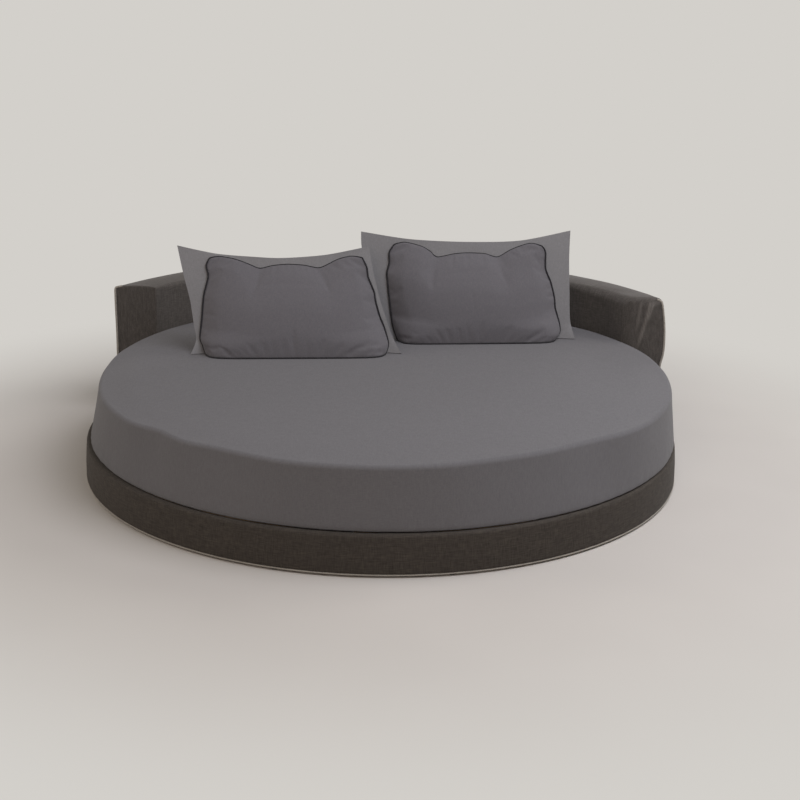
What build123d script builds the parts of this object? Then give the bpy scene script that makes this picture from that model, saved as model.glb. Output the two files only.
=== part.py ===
from build123d import *
import os
from math import asin, cos, degrees, radians, sin, sqrt

# Round bed: a low upholstered base, a curved headboard round the back of it, a boxed round
# mattress in a fitted sheet, and two leaning pillows in flanged, piped cases.
# Millimetres and degrees. The origin is on the floor under the centre of the base,
# +Z is up, -Y is the open front and +Y the headboard.

# Driving dimensions
mattress_radius = 1000
mattress_thickness = 200
mattress_shift_x = 8
mattress_shift_y = 12
base_overhang = 20
base_height = 130
headboard_stand_off = 4
headboard_thickness = 136
headboard_height = 490
headboard_end_y = 512

# Shared cloth, board and clearance sizes
cover_thickness = 1.5
piece_gap = 0.3
glide_height = 8
welt_radius = 2.5
overrun = 5

# Base rails, their padding and their glides
rail_thickness = 18
rail_wadding_thickness = 10
rail_top_wadding = 5
rail_joint_gap = 1
base_edge_radius = 9
cover_return = 14
glide_radius = 14
glide_chamfer = 1.6
glide_spigot_radius = 2.5
glide_spigot_length = 14
glides_per_rail = 6

# Steel plates and their screws
plate_thickness = 3
joining_plate_height = 58
joining_plate_length = 170
joining_plate_rise = 12
screw_radius = 2
screw_head_radius = 4
screw_head_height = 3
screw_play = 0.15
plate_screw_length = 15
plate_screw_pitch = 45
plate_screw_steps = (-1.5, -0.5, 0.5, 1.5)
shoe_screw_rises = (15, 45)
shoe_screw_share = 0.8

# Ledgers, centre beam and feet
ledger_width = 28
ledger_height = 30
ledger_screw_length = 38
ledger_screws_per_side = 8
ledger_screw_margin = 12
beam_width = 60
beam_height = 70
shoe_reach = 50
shoe_cheek_height = 58
shoe_half_width = 56
foot_radius = 22
foot_pad_height = 10
foot_pad_edge_radius = 3.3
foot_stem_radius = 6
foot_stem_grip = 34
foot_spacing = 450

# Slats
slat_width = 70
slat_thickness = 18
slat_gap = 78
slat_end_gap = 3
slat_joint = 1
slat_screw_length = 34
slat_screw_inset = 15

# Headboard boards and padding
front_foam_thickness = 20
back_wadding_thickness = 8
top_foam_thickness = 24
end_foam_thickness = 14
skin_board_thickness = 9
plate_board_thickness = 18
stud_thickness = 18
stud_spacing_angle = 15.5
studs_each_side = 3
headboard_crown = 6
headboard_edge_radius = 14
headboard_glides_each_side = 3
headboard_glide_spacing_angle = 18

# Bolts between base and headboard
bolt_radius = 4
bolt_play = 0.4
bolt_head_radius = 7.5
bolt_head_height = 5
bolt_tail = 4
nut_height = 6.5
washer_radius = 12
washer_thickness = 1.6
bolt_rise = 60
bolt_bay_shares = (-2.5, -0.5, 0.5, 2.5)
packing_block_width = 60
packing_block_height = 50

# Mattress layers
sheet_thickness = 1
hem_width = 75
elastic_width = 5
mattress_shoulder_radius = 30
mattress_bottom_edge_radius = 10
ticking_thickness = 2
tape_width = 12
base_felt_thickness = 4
insulator_thickness = 4
comfort_foam_thickness = 50
edge_foam_width = 95

# Pillows: a crowned body in a case whose flat flange runs round it
pillow_width = 750
pillow_height = 390
pillow_side_border = 46
pillow_top_border = 90
pillow_front_bulge = 80
pillow_back_bulge = 95
pillow_tip = 8
case_thickness = 1.2
flange_thickness = 3
piping_radius = 3
piping_corner_radius = 11
left_pillow_x = -318
left_pillow_y = 190
left_pillow_yaw = 6.6
left_pillow_lean = 66
right_pillow_x = 338
right_pillow_y = 455
right_pillow_yaw = 7.9
right_pillow_lean = 74

# Level up the body, sideways place and half width, front bulge and back bulge
body_level_shares = (0.0, 0.13, 0.41, 0.69, 0.93, 1.0)
body_centre_shares = (0.0, -0.012, -0.04, -0.079, -0.094, -0.10)
body_half_width_shares = (0.951, 1.0, 0.976, 0.918, 0.851, 0.796)
body_front_shares = (0.42, 0.80, 1.0, 0.76, 0.26, 0.07)
body_back_shares = (0.86, 1.0, 0.84, 0.58, 0.22, 0.06)

# Flange corners and the middles of its sides, as shares of half the width and of the height
left_flange_shares = ((-1.0, 0.0), (-1.03, 0.474), (-1.165, 0.99), (-0.17, 0.885),
                      (0.685, 1.0), (0.81, 0.497), (1.0, 0.0))
right_flange_shares = ((-0.987, 0.0), (-1.09, 0.5), (-1.155, 1.0), (-0.107, 0.918),
                       (0.941, 1.038), (0.944, 0.467), (0.987, 0.0))

# The piping's corners, by the same shares
piping_shares = ((-0.870, 0.016), (-0.923, 0.123), (-0.926, 0.318), (-0.910, 0.528),
                 (-0.866, 0.710), (-0.884, 0.815), (-0.845, 0.898), (-0.757, 0.917),
                 (-0.603, 0.890), (-0.467, 0.836), (-0.368, 0.797), (-0.088, 0.841),
                 (0.224, 0.803), (0.387, 0.885), (0.523, 0.923), (0.624, 0.913),
                 (0.675, 0.821), (0.702, 0.721), (0.776, 0.513), (0.832, 0.359),
                 (0.901, 0.123), (0.875, 0.016))

# Radii and heights worked out from the sizes above
pillow_body_width = pillow_width - 2 * pillow_side_border
pillow_body_height = pillow_height - pillow_top_border
base_radius = mattress_radius + base_overhang
cover_inner_radius = base_radius - cover_thickness
rail_outer_radius = cover_inner_radius - piece_gap - rail_wadding_thickness
rail_inner_radius = rail_outer_radius - rail_thickness
rail_padding_top = base_height - cover_thickness - piece_gap
rail_top = rail_padding_top - rail_top_wadding
return_inner_radius = rail_inner_radius - piece_gap - cover_thickness
slat_underside = base_height - slat_thickness
slat_end_radius = return_inner_radius - slat_end_gap
ledger_outer_radius = rail_inner_radius - piece_gap
ledger_inner_radius = ledger_outer_radius - ledger_width
ledger_middle_radius = ledger_outer_radius - ledger_width / 2
ledger_underside = slat_underside - ledger_height
plate_outer_radius = rail_inner_radius - piece_gap
plate_inner_radius = plate_outer_radius - plate_thickness
beam_underside = slat_underside - beam_height
beam_end = sqrt(plate_inner_radius**2 - (beam_width / 2) ** 2) - piece_gap
slat_pitch = slat_width + slat_gap
bolt_angles = [90 + share * stud_spacing_angle for share in bolt_bay_shares]
slats_each_way = int((slat_end_radius - slat_width) / slat_pitch)
slat_rows = [row * slat_pitch for row in range(-slats_each_way, slats_each_way + 1)]

headboard_inner_radius = base_radius + headboard_stand_off
headboard_outer_radius = headboard_inner_radius + headboard_thickness
padding_inset = cover_thickness + piece_gap
front_foam_inner_radius = headboard_inner_radius + padding_inset
front_foam_outer_radius = front_foam_inner_radius + front_foam_thickness
inner_board_radius = front_foam_outer_radius + piece_gap
inner_board_back_radius = inner_board_radius + skin_board_thickness
back_wadding_outer_radius = headboard_outer_radius - padding_inset
back_wadding_inner_radius = back_wadding_outer_radius - back_wadding_thickness
outer_board_radius = back_wadding_inner_radius - piece_gap
outer_board_inner_radius = outer_board_radius - skin_board_thickness
frame_inner_radius = inner_board_back_radius + piece_gap
frame_outer_radius = outer_board_inner_radius - piece_gap
frame_middle_radius = (frame_inner_radius + frame_outer_radius) / 2
frame_top = headboard_height - headboard_crown - padding_inset - top_foam_thickness
end_foam_face = headboard_end_y + padding_inset
end_board_face = end_foam_face + end_foam_thickness + piece_gap
frame_end = end_board_face + plate_board_thickness + piece_gap

mattress_bottom = base_height + piece_gap
mattress_top = mattress_bottom + mattress_thickness
ticking_inset = sheet_thickness + piece_gap
filling_inset = ticking_inset + ticking_thickness + piece_gap
filling_radius = mattress_radius - filling_inset
base_felt_top = mattress_bottom + filling_inset + base_felt_thickness
comfort_foam_bottom = mattress_top - filling_inset - comfort_foam_thickness
insulator_bottom = comfort_foam_bottom - insulator_thickness
spring_radius = filling_radius - edge_foam_width
pillow_rest = mattress_top + piece_gap


def keep(part, node):
    """Labels a finished piece and writes it under its node's name."""
    part.label = node
    export_step(part, f"parts/{node}.step")


def radial_plane(angle):
    """The upright plane through the bed's axis at an angle: local x runs outwards, y up."""
    turn = radians(angle)
    return Plane(origin=(0, 0, 0), x_dir=(cos(turn), sin(turn), 0), z_dir=(sin(turn), -cos(turn), 0))


def facing_plane(radius, angle, height):
    """The plane that faces outwards at a radius, angle and height."""
    turn = radians(angle)
    return Plane(
        origin=(radius * cos(turn), radius * sin(turn), height),
        x_dir=(-sin(turn), cos(turn), 0),
        z_dir=(cos(turn), sin(turn), 0),
    )


def span(low, high, bottom, top, mode=Mode.ADD):
    """Draws a rectangle between two radii and two heights in the open sketch."""
    with Locations(((low + high) / 2, (bottom + top) / 2)):
        Rectangle(high - low, top - bottom, mode=mode)


def ring_sector(inner, outer, bottom, top, start=0, arc=360, mode=Mode.ADD):
    """Sweeps a rectangle round the bed's axis, in the open part."""
    with BuildSketch(radial_plane(start)) as section:
        span(inner, outer, bottom, top)
    revolve(section.sketch, axis=Axis.Z, revolution_arc=arc, mode=mode)


def radial_rods(radius, start, length, angles, height, mode=Mode.ADD):
    """Makes round rods or bores that run outwards from a radius, at several angles."""
    for angle in angles:
        with BuildSketch(facing_plane(start, angle, height)) as round_end:
            Circle(radius)
        extrude(round_end.sketch, amount=length, mode=mode)


def keep_behind(distance):
    """Cuts the open part off in front of a plane across the bed."""
    split(bisect_by=Plane.XZ.offset(-distance), keep=Keep.BOTTOM)


def trim_half(side):
    """Trims a half ring at the rails' joint; side is 1 for the back half and -1 for the front."""
    chosen = Keep.BOTTOM if side > 0 else Keep.TOP
    split(bisect_by=Plane.XZ.offset(-side * rail_joint_gap / 2), keep=chosen)


def block_windows(play, inner, outer):
    """Cuts the packing blocks' windows through rings between two radii."""
    half_angle = degrees(asin((packing_block_width / 2 + play) / rail_outer_radius))
    low = bolt_rise - packing_block_height / 2 - play
    high = bolt_rise + packing_block_height / 2 + play
    for angle in bolt_angles:
        ring_sector(inner, outer, low, high, angle - half_angle, 2 * half_angle, Mode.SUBTRACT)


os.makedirs("parts", exist_ok=True)

# Places of the fasteners round the base
plate_screw_angle = degrees(plate_screw_pitch / plate_inner_radius)
joining_angles = [
    side + step * plate_screw_angle for side in (0, 180) for step in plate_screw_steps
]
joining_plate_bottom = glide_height + joining_plate_rise
shoe_end_angle = degrees(asin(shoe_half_width / plate_inner_radius))
shoe_screw_angle = shoe_end_angle * shoe_screw_share
shoe_screw_angles = [side + step * shoe_screw_angle for side in (90, 270) for step in (-1, 1)]
shoe_screw_heights = [beam_underside + rise for rise in shoe_screw_rises]
ledger_end_x = shoe_half_width + plate_thickness
ledger_end_angle = degrees(asin((ledger_end_x + ledger_screw_margin) / ledger_middle_radius))
ledger_screw_step = (180 - 2 * ledger_end_angle) / (ledger_screws_per_side - 1)
ledger_screw_angles = [
    side + ledger_end_angle + step * ledger_screw_step
    for side in (-90, 90)
    for step in range(ledger_screws_per_side)
]
ledger_screw_height = ledger_underside + ledger_height / 2

# Bent plywood rails, one behind and one in front
glide_step = 180 / glides_per_rail
for side, end in ((1, "back"), (-1, "front")):
    glide_angles = [(0 if side > 0 else 180) + (n + 0.5) * glide_step for n in range(glides_per_rail)]
    rail_middle_radius = (rail_inner_radius + rail_outer_radius) / 2
    with BuildPart() as side_rail:
        ring_sector(
            rail_inner_radius, rail_outer_radius, glide_height, rail_top, 0 if side > 0 else 180, 180
        )
        trim_half(side)
        pilot = screw_radius + screw_play
        pilot_depth = plate_screw_length + piece_gap
        for angles, height in (
            (joining_angles, joining_plate_bottom + joining_plate_height / 2),
            (shoe_screw_angles, shoe_screw_heights[0]),
            (shoe_screw_angles, shoe_screw_heights[1]),
            (ledger_screw_angles, ledger_screw_height),
        ):
            radial_rods(pilot, plate_outer_radius, pilot_depth, angles, height, Mode.SUBTRACT)
        with BuildSketch(Plane.XY.offset(glide_height)) as spigots:
            for angle in glide_angles:
                with PolarLocations(rail_middle_radius, 1, start_angle=angle):
                    Circle(glide_spigot_radius + screw_play)
        extrude(spigots.sketch, amount=glide_spigot_length + piece_gap, mode=Mode.SUBTRACT)
        if side > 0:
            radial_rods(
                bolt_radius + bolt_play,
                rail_inner_radius - overrun,
                rail_thickness + 2 * overrun,
                bolt_angles,
                bolt_rise,
                Mode.SUBTRACT,
            )
    keep(side_rail.part, f"side_rail_{end}")

    # Wadding over the rail's outer face and top
    with BuildPart() as rail_wadding:
        with BuildSketch(radial_plane(0 if side > 0 else 180)) as padding:
            span(rail_inner_radius, cover_inner_radius - piece_gap, glide_height, rail_padding_top)
            outer_corner = padding.vertices().group_by(Axis.Y)[-1].sort_by(Axis.X)[-1]
            fillet(outer_corner, base_edge_radius - cover_thickness - piece_gap)
            inner_corner = padding.vertices().group_by(Axis.Y)[-1].sort_by(Axis.X)[0]
            fillet(inner_corner, rail_top_wadding - cover_thickness - piece_gap)
            span(0, rail_outer_radius + piece_gap, 0, rail_top, Mode.SUBTRACT)
            span(0, base_radius, 0, glide_height + 2 * welt_radius + piece_gap, Mode.SUBTRACT)
        revolve(padding.sketch, axis=Axis.Z, revolution_arc=180)
        trim_half(side)
        if side > 0:
            block_windows(piece_gap, rail_outer_radius, base_radius)
    keep(rail_wadding.part, f"rail_wadding_{end}")

    # Fabric over the wadding, turned down behind the rail's top edge
    with BuildPart() as rail_cover:
        with BuildSketch(radial_plane(0 if side > 0 else 180)) as cloth:
            span(return_inner_radius, base_radius, glide_height, base_height)
            top_corners = cloth.vertices().group_by(Axis.Y)[-1].sort_by(Axis.X)
            fillet(top_corners[-1], base_edge_radius)
            fillet(cloth.vertices().group_by(Axis.Y)[-1].sort_by(Axis.X)[0], rail_top_wadding)
            with BuildSketch(mode=Mode.SUBTRACT) as hollow:
                span(
                    return_inner_radius + cover_thickness,
                    cover_inner_radius,
                    0,
                    base_height - cover_thickness,
                )
                inner_corners = hollow.vertices().group_by(Axis.Y)[-1].sort_by(Axis.X)
                fillet(inner_corners[-1], base_edge_radius - cover_thickness)
                left_corner = hollow.vertices().group_by(Axis.Y)[-1].sort_by(Axis.X)[0]
                fillet(left_corner, rail_top_wadding - cover_thickness)
            span(0, rail_outer_radius, 0, base_height - cover_return, Mode.SUBTRACT)
            span(0, base_radius, 0, glide_height + 2 * welt_radius + piece_gap, Mode.SUBTRACT)
        revolve(cloth.sketch, axis=Axis.Z, revolution_arc=180)
        trim_half(side)
        if side > 0:
            block_windows(piece_gap, rail_outer_radius, base_radius + overrun)
    keep(rail_cover.part, f"rail_cover_{end}")

# Welt along the lower edge of the base, with its flange against the rails
welt_height = glide_height + welt_radius
with BuildPart() as base_welt:
    with BuildSketch(radial_plane(0)) as bead:
        with Locations((base_radius - welt_radius, welt_height)):
            Circle(welt_radius)
        span(
            rail_outer_radius + piece_gap,
            base_radius - welt_radius,
            glide_height,
            glide_height + cover_thickness,
        )
    revolve(bead.sketch, axis=Axis.Z)
keep(base_welt.part, "base_welt")

# Nylon glides pressed into the underside of the rails
with BuildPart() as base_glides:
    with BuildSketch() as pads:
        with PolarLocations(rail_middle_radius, 2 * glides_per_rail, start_angle=glide_step / 2):
            Circle(glide_radius)
    extrude(pads.sketch, amount=glide_height)
    chamfer(base_glides.edges().group_by(Axis.Z)[0], glide_chamfer)
    with BuildSketch(Plane.XY.offset(glide_height)) as spigots:
        with PolarLocations(rail_middle_radius, 2 * glides_per_rail, start_angle=glide_step / 2):
            Circle(glide_spigot_radius)
    extrude(spigots.sketch, amount=glide_spigot_length)
keep(base_glides.part, "base_glides")


def radial_screws(angles, height, face_radius, length):
    """Adds pan-head screws that are driven outwards through a face at a radius."""
    head_start = face_radius - screw_head_height
    radial_rods(screw_radius, head_start, length + screw_head_height, angles, height)
    radial_rods(screw_head_radius, head_start, screw_head_height, angles, height)


# Curved steel plates that join the two rails at the sides
joining_half_angle = degrees(joining_plate_length / 2 / plate_inner_radius)
with BuildPart() as joining_plates:
    for middle in (0, 180):
        ring_sector(
            plate_inner_radius,
            plate_outer_radius,
            joining_plate_bottom,
            joining_plate_bottom + joining_plate_height,
            middle - joining_half_angle,
            2 * joining_half_angle,
        )
    radial_rods(
        screw_radius + screw_play,
        plate_inner_radius - overrun,
        plate_thickness + 2 * overrun,
        joining_angles,
        joining_plate_bottom + joining_plate_height / 2,
        Mode.SUBTRACT,
    )
keep(joining_plates.part, "joining_plates")

plate_head_face = plate_inner_radius - piece_gap
with BuildPart() as plate_screws:
    radial_screws(
        joining_angles,
        joining_plate_bottom + joining_plate_height / 2,
        plate_head_face,
        plate_thickness + plate_screw_length,
    )
    for height in shoe_screw_heights:
        radial_screws(shoe_screw_angles, height, plate_head_face, plate_thickness + plate_screw_length)
keep(plate_screws.part, "plate_screws")

# Steel shoes that hang the centre beam on the rails
with BuildPart() as beam_shoes:
    for middle in (90, 270):
        ring_sector(
            plate_inner_radius,
            plate_outer_radius,
            beam_underside - piece_gap - plate_thickness,
            beam_underside + shoe_cheek_height,
            middle - shoe_end_angle,
            2 * shoe_end_angle,
        )
    shoe_front = beam_end - shoe_reach
    cheek_x = beam_width / 2 + piece_gap + plate_thickness / 2
    shoe_depth = beam_end + piece_gap + plate_thickness / 2 - shoe_front
    seat_bottom = beam_underside - piece_gap - plate_thickness
    with BuildSketch(Plane.XY.offset(seat_bottom)) as seats:
        for way in (-1, 1):
            with Locations((0, way * (shoe_front + shoe_depth / 2))):
                Rectangle(beam_width + 2 * piece_gap + 2 * plate_thickness, shoe_depth)
    extrude(seats.sketch, amount=plate_thickness)
    with BuildSketch(Plane.XY.offset(seat_bottom)) as cheeks:
        for way in (-1, 1):
            with Locations((0, way * (shoe_front + shoe_depth / 2))):
                with GridLocations(2 * cheek_x, 0, 2, 1):
                    Rectangle(plate_thickness, shoe_depth)
    extrude(cheeks.sketch, amount=shoe_cheek_height + piece_gap + plate_thickness)
    for height in shoe_screw_heights:
        radial_rods(
            screw_radius + screw_play,
            plate_inner_radius - overrun,
            plate_thickness + 2 * overrun,
            shoe_screw_angles,
            height,
            Mode.SUBTRACT,
        )
keep(beam_shoes.part, "beam_shoes")

# Curved ledgers that carry the outer ends of the slats
slat_screw_reach = slat_screw_length - slat_thickness
for side, end in ((1, "right"), (-1, "left")):
    with BuildPart() as ledger:
        ring_sector(
            ledger_inner_radius, ledger_outer_radius, ledger_underside, slat_underside, -90 * side, 180
        )
        split(
            bisect_by=Plane.YZ.offset(side * ledger_end_x),
            keep=Keep.TOP if side > 0 else Keep.BOTTOM,
        )
        radial_rods(
            screw_radius + screw_play,
            ledger_inner_radius - overrun,
            ledger_width + 2 * overrun,
            ledger_screw_angles,
            ledger_screw_height,
            Mode.SUBTRACT,
        )
        with BuildSketch(Plane.XY.offset(slat_underside)) as pilots:
            for row in slat_rows:
                with Locations((side * sqrt(ledger_middle_radius**2 - row**2), row)):
                    Circle(screw_radius + screw_play)
        extrude(pilots.sketch, amount=-slat_screw_reach - piece_gap, mode=Mode.SUBTRACT)
    keep(ledger.part, f"ledger_{end}")

with BuildPart() as ledger_screws:
    radial_screws(
        ledger_screw_angles, ledger_screw_height, ledger_inner_radius - piece_gap, ledger_screw_length
    )
keep(ledger_screws.part, "ledger_screws")

# Centre beam with pilot holes for the slats and bores for the foot stems
with BuildPart() as centre_beam:
    with BuildSketch(Plane.XY.offset(beam_underside)) as outline:
        Rectangle(beam_width, 2 * beam_end)
    extrude(outline.sketch, amount=beam_height)
    with BuildSketch(Plane.XY.offset(slat_underside)) as pilots:
        for row in slat_rows:
            with Locations((-slat_screw_inset, row), (slat_screw_inset, row)):
                Circle(screw_radius + screw_play)
    extrude(pilots.sketch, amount=-slat_screw_reach - piece_gap, mode=Mode.SUBTRACT)
    with BuildSketch(Plane.XY.offset(beam_underside)) as stems:
        with GridLocations(0, foot_spacing, 1, 3):
            Circle(foot_stem_radius + screw_play)
    extrude(stems.sketch, amount=foot_stem_grip + piece_gap, mode=Mode.SUBTRACT)
keep(centre_beam.part, "centre_beam")

# Adjustable feet under the centre beam
with BuildPart() as centre_feet:
    with BuildSketch() as pads:
        with GridLocations(0, foot_spacing, 1, 3):
            Circle(foot_radius)
    extrude(pads.sketch, amount=foot_pad_height)
    fillet(centre_feet.edges().group_by(Axis.Z)[-1], foot_pad_edge_radius)
    with BuildSketch(Plane.XY.offset(foot_pad_height)) as stems:
        with GridLocations(0, foot_spacing, 1, 3):
            Circle(foot_stem_radius)
    extrude(stems.sketch, amount=beam_underside + foot_stem_grip - foot_pad_height)
keep(centre_feet.part, "centre_feet")

# Slats, cut to the round at their outer ends and butted over the beam
for side, end in ((1, "right"), (-1, "left")):
    with BuildPart() as slats:
        with BuildSketch(Plane.XY.offset(slat_underside)) as boards:
            for row in slat_rows:
                with Locations((side * (slat_joint + base_radius) / 2, row)):
                    Rectangle(base_radius - slat_joint, slat_width)
            Circle(slat_end_radius, mode=Mode.INTERSECT)
            for row in slat_rows:
                outer_x = sqrt(ledger_middle_radius**2 - row**2)
                with Locations((side * slat_screw_inset, row), (side * outer_x, row)):
                    Circle(screw_radius + screw_play, mode=Mode.SUBTRACT)
        extrude(boards.sketch, amount=slat_thickness)
        with BuildSketch(Plane.XY.offset(base_height)) as sinks:
            for row in slat_rows:
                outer_x = sqrt(ledger_middle_radius**2 - row**2)
                with Locations((side * slat_screw_inset, row), (side * outer_x, row)):
                    Circle(screw_head_radius + screw_play)
        extrude(sinks.sketch, amount=-screw_head_height - piece_gap, mode=Mode.SUBTRACT)
    keep(slats.part, f"slats_{end}")

with BuildPart() as slat_screws:
    with BuildSketch(Plane.XY.offset(base_height - piece_gap)) as heads:
        for row in slat_rows:
            outer_x = sqrt(ledger_middle_radius**2 - row**2)
            with Locations(
                (-slat_screw_inset, row), (slat_screw_inset, row), (-outer_x, row), (outer_x, row)
            ):
                Circle(screw_head_radius)
    extrude(heads.sketch, amount=-screw_head_height)
    with BuildSketch(Plane.XY.offset(base_height - piece_gap)) as shanks:
        for row in slat_rows:
            outer_x = sqrt(ledger_middle_radius**2 - row**2)
            with Locations(
                (-slat_screw_inset, row), (slat_screw_inset, row), (-outer_x, row), (outer_x, row)
            ):
                Circle(screw_radius)
    extrude(shanks.sketch, amount=piece_gap - slat_screw_length)
keep(slat_screws.part, "slat_screws")


def headboard_outline(inset, bottom):
    """The headboard's cross-section, drawn in by an inset, with its crowned top."""
    low = headboard_inner_radius + inset
    high = headboard_outer_radius - inset
    top = headboard_height - inset
    eave = top - headboard_crown
    with BuildSketch(radial_plane(0)) as outline:
        with BuildLine():
            Polyline((low, eave), (low, bottom), (high, bottom), (high, eave))
            ThreePointArc((high, eave), ((low + high) / 2, top), (low, eave))
        make_face()
        top_corners = outline.vertices().group_by(Axis.Y)[-1]
        fillet(top_corners, headboard_edge_radius - inset)
    return outline.sketch


# The headboard's fabric cover, open underneath
with BuildPart() as cover_hollow:
    revolve(headboard_outline(cover_thickness, 0), axis=Axis.Z, revolution_arc=180)
    keep_behind(headboard_end_y + cover_thickness)

with BuildPart() as headboard_cover:
    revolve(headboard_outline(0, glide_height), axis=Axis.Z, revolution_arc=180)
    keep_behind(headboard_end_y)
    add(cover_hollow.part, mode=Mode.SUBTRACT)
    block_windows(piece_gap, base_radius, front_foam_outer_radius)
keep(headboard_cover.part, "headboard_cover")

# Foam and wadding under the cover
with BuildPart() as front_foam:
    ring_sector(front_foam_inner_radius, front_foam_outer_radius, glide_height, frame_top, 0, 180)
    keep_behind(end_foam_face)
    block_windows(piece_gap, base_radius, front_foam_outer_radius + overrun)
keep(front_foam.part, "headboard_front_foam")

with BuildPart() as back_wadding:
    ring_sector(back_wadding_inner_radius, back_wadding_outer_radius, glide_height, frame_top, 0, 180)
    keep_behind(end_foam_face)
keep(back_wadding.part, "headboard_back_wadding")

with BuildPart() as top_foam:
    revolve(headboard_outline(padding_inset, frame_top), axis=Axis.Z, revolution_arc=180)
    keep_behind(end_foam_face)
keep(top_foam.part, "headboard_top_foam")

with BuildPart() as end_foams:
    ring_sector(inner_board_radius, outer_board_radius, glide_height, frame_top, 0, 180)
    keep_behind(end_foam_face)
    split(bisect_by=Plane.XZ.offset(-end_foam_face - end_foam_thickness), keep=Keep.TOP)
keep(end_foams.part, "headboard_end_foams")

# The headboard's box frame: two bent skins, plates, end boards and studs
with BuildPart() as inner_board:
    ring_sector(inner_board_radius, inner_board_back_radius, glide_height, frame_top, 0, 180)
    keep_behind(end_board_face)
    radial_rods(
        bolt_radius + bolt_play,
        inner_board_radius - overrun,
        skin_board_thickness + 2 * overrun,
        bolt_angles,
        bolt_rise,
        Mode.SUBTRACT,
    )
keep(inner_board.part, "headboard_inner_board")

with BuildPart() as outer_board:
    ring_sector(outer_board_inner_radius, outer_board_radius, glide_height, frame_top, 0, 180)
    keep_behind(end_board_face)
keep(outer_board.part, "headboard_outer_board")

with BuildPart() as end_boards:
    ring_sector(frame_inner_radius, frame_outer_radius, glide_height, frame_top, 0, 180)
    keep_behind(end_board_face)
    split(bisect_by=Plane.XZ.offset(-end_board_face - plate_board_thickness), keep=Keep.TOP)
keep(end_boards.part, "headboard_end_boards")

headboard_glide_angles = [
    90 + step * headboard_glide_spacing_angle
    for step in range(-headboard_glides_each_side, headboard_glides_each_side + 1)
]
with BuildPart() as bottom_plate:
    ring_sector(
        frame_inner_radius, frame_outer_radius, glide_height, glide_height + plate_board_thickness, 0, 180
    )
    keep_behind(frame_end)
    with BuildSketch(Plane.XY.offset(glide_height)) as spigots:
        for angle in headboard_glide_angles:
            with PolarLocations(frame_middle_radius, 1, start_angle=angle):
                Circle(glide_spigot_radius + screw_play)
    extrude(spigots.sketch, amount=glide_spigot_length + piece_gap, mode=Mode.SUBTRACT)
keep(bottom_plate.part, "headboard_bottom_plate")

with BuildPart() as top_plate:
    ring_sector(
        frame_inner_radius, frame_outer_radius, frame_top - plate_board_thickness, frame_top, 0, 180
    )
    keep_behind(frame_end)
keep(top_plate.part, "headboard_top_plate")

stud_bottom = glide_height + plate_board_thickness
stud_depth = frame_outer_radius - frame_inner_radius - 2 * piece_gap
stud_angles = [90 + step * stud_spacing_angle for step in range(-studs_each_side, studs_each_side + 1)]
with BuildPart() as studs:
    with BuildSketch(Plane.XY.offset(stud_bottom)) as feet:
        for angle in stud_angles:
            with PolarLocations(frame_middle_radius, 1, start_angle=angle):
                Rectangle(stud_depth, stud_thickness)
    extrude(feet.sketch, amount=frame_top - plate_board_thickness - stud_bottom)
keep(studs.part, "headboard_studs")

with BuildPart() as headboard_glides:
    with BuildSketch() as pads:
        for angle in headboard_glide_angles:
            with PolarLocations(frame_middle_radius, 1, start_angle=angle):
                Circle(glide_radius)
    extrude(pads.sketch, amount=glide_height)
    chamfer(headboard_glides.edges().group_by(Axis.Z)[0], glide_chamfer)
    with BuildSketch(Plane.XY.offset(glide_height)) as spigots:
        for angle in headboard_glide_angles:
            with PolarLocations(frame_middle_radius, 1, start_angle=angle):
                Circle(glide_spigot_radius)
    extrude(spigots.sketch, amount=glide_spigot_length)
keep(headboard_glides.part, "headboard_glides")

# Welts sewn down the outer upright edges of the headboard's ends
corner_angle = asin(headboard_end_y / headboard_outer_radius)
welt_lean_x = cos(corner_angle)
welt_lean_y = sin(corner_angle) - 1
welt_reach = (welt_radius + piece_gap) / sqrt(welt_lean_x**2 + welt_lean_y**2)
welt_x = headboard_outer_radius * cos(corner_angle) + welt_reach * welt_lean_x
welt_y = headboard_end_y + welt_reach * welt_lean_y
welt_length = headboard_height - headboard_crown - headboard_edge_radius - glide_height
with BuildPart() as end_welts:
    with BuildSketch(Plane.XY.offset(glide_height)) as beads:
        with Locations((-welt_x, welt_y), (welt_x, welt_y)):
            Circle(welt_radius)
    extrude(beads.sketch, amount=welt_length)
keep(end_welts.part, "headboard_end_welts")

# Plywood packing blocks between the rail and the headboard, with the bolts through them
block_half_angle = degrees(asin(packing_block_width / 2 / rail_outer_radius))
with BuildPart() as packing_blocks:
    for angle in bolt_angles:
        ring_sector(
            rail_outer_radius + piece_gap,
            inner_board_radius - piece_gap,
            bolt_rise - packing_block_height / 2,
            bolt_rise + packing_block_height / 2,
            angle - block_half_angle,
            2 * block_half_angle,
        )
    radial_rods(
        bolt_radius + bolt_play,
        rail_outer_radius - overrun,
        inner_board_radius - rail_outer_radius + 2 * overrun,
        bolt_angles,
        bolt_rise,
        Mode.SUBTRACT,
    )
keep(packing_blocks.part, "packing_blocks")

inner_washer_face = rail_inner_radius - piece_gap - washer_thickness
outer_washer_start = inner_board_back_radius + piece_gap
with BuildPart() as bolt_washers:
    for start in (inner_washer_face, outer_washer_start):
        radial_rods(washer_radius, start, washer_thickness, bolt_angles, bolt_rise)
        radial_rods(
            bolt_radius + bolt_play,
            start - overrun,
            washer_thickness + 2 * overrun,
            bolt_angles,
            bolt_rise,
            Mode.SUBTRACT,
        )
keep(bolt_washers.part, "bolt_washers")

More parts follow.
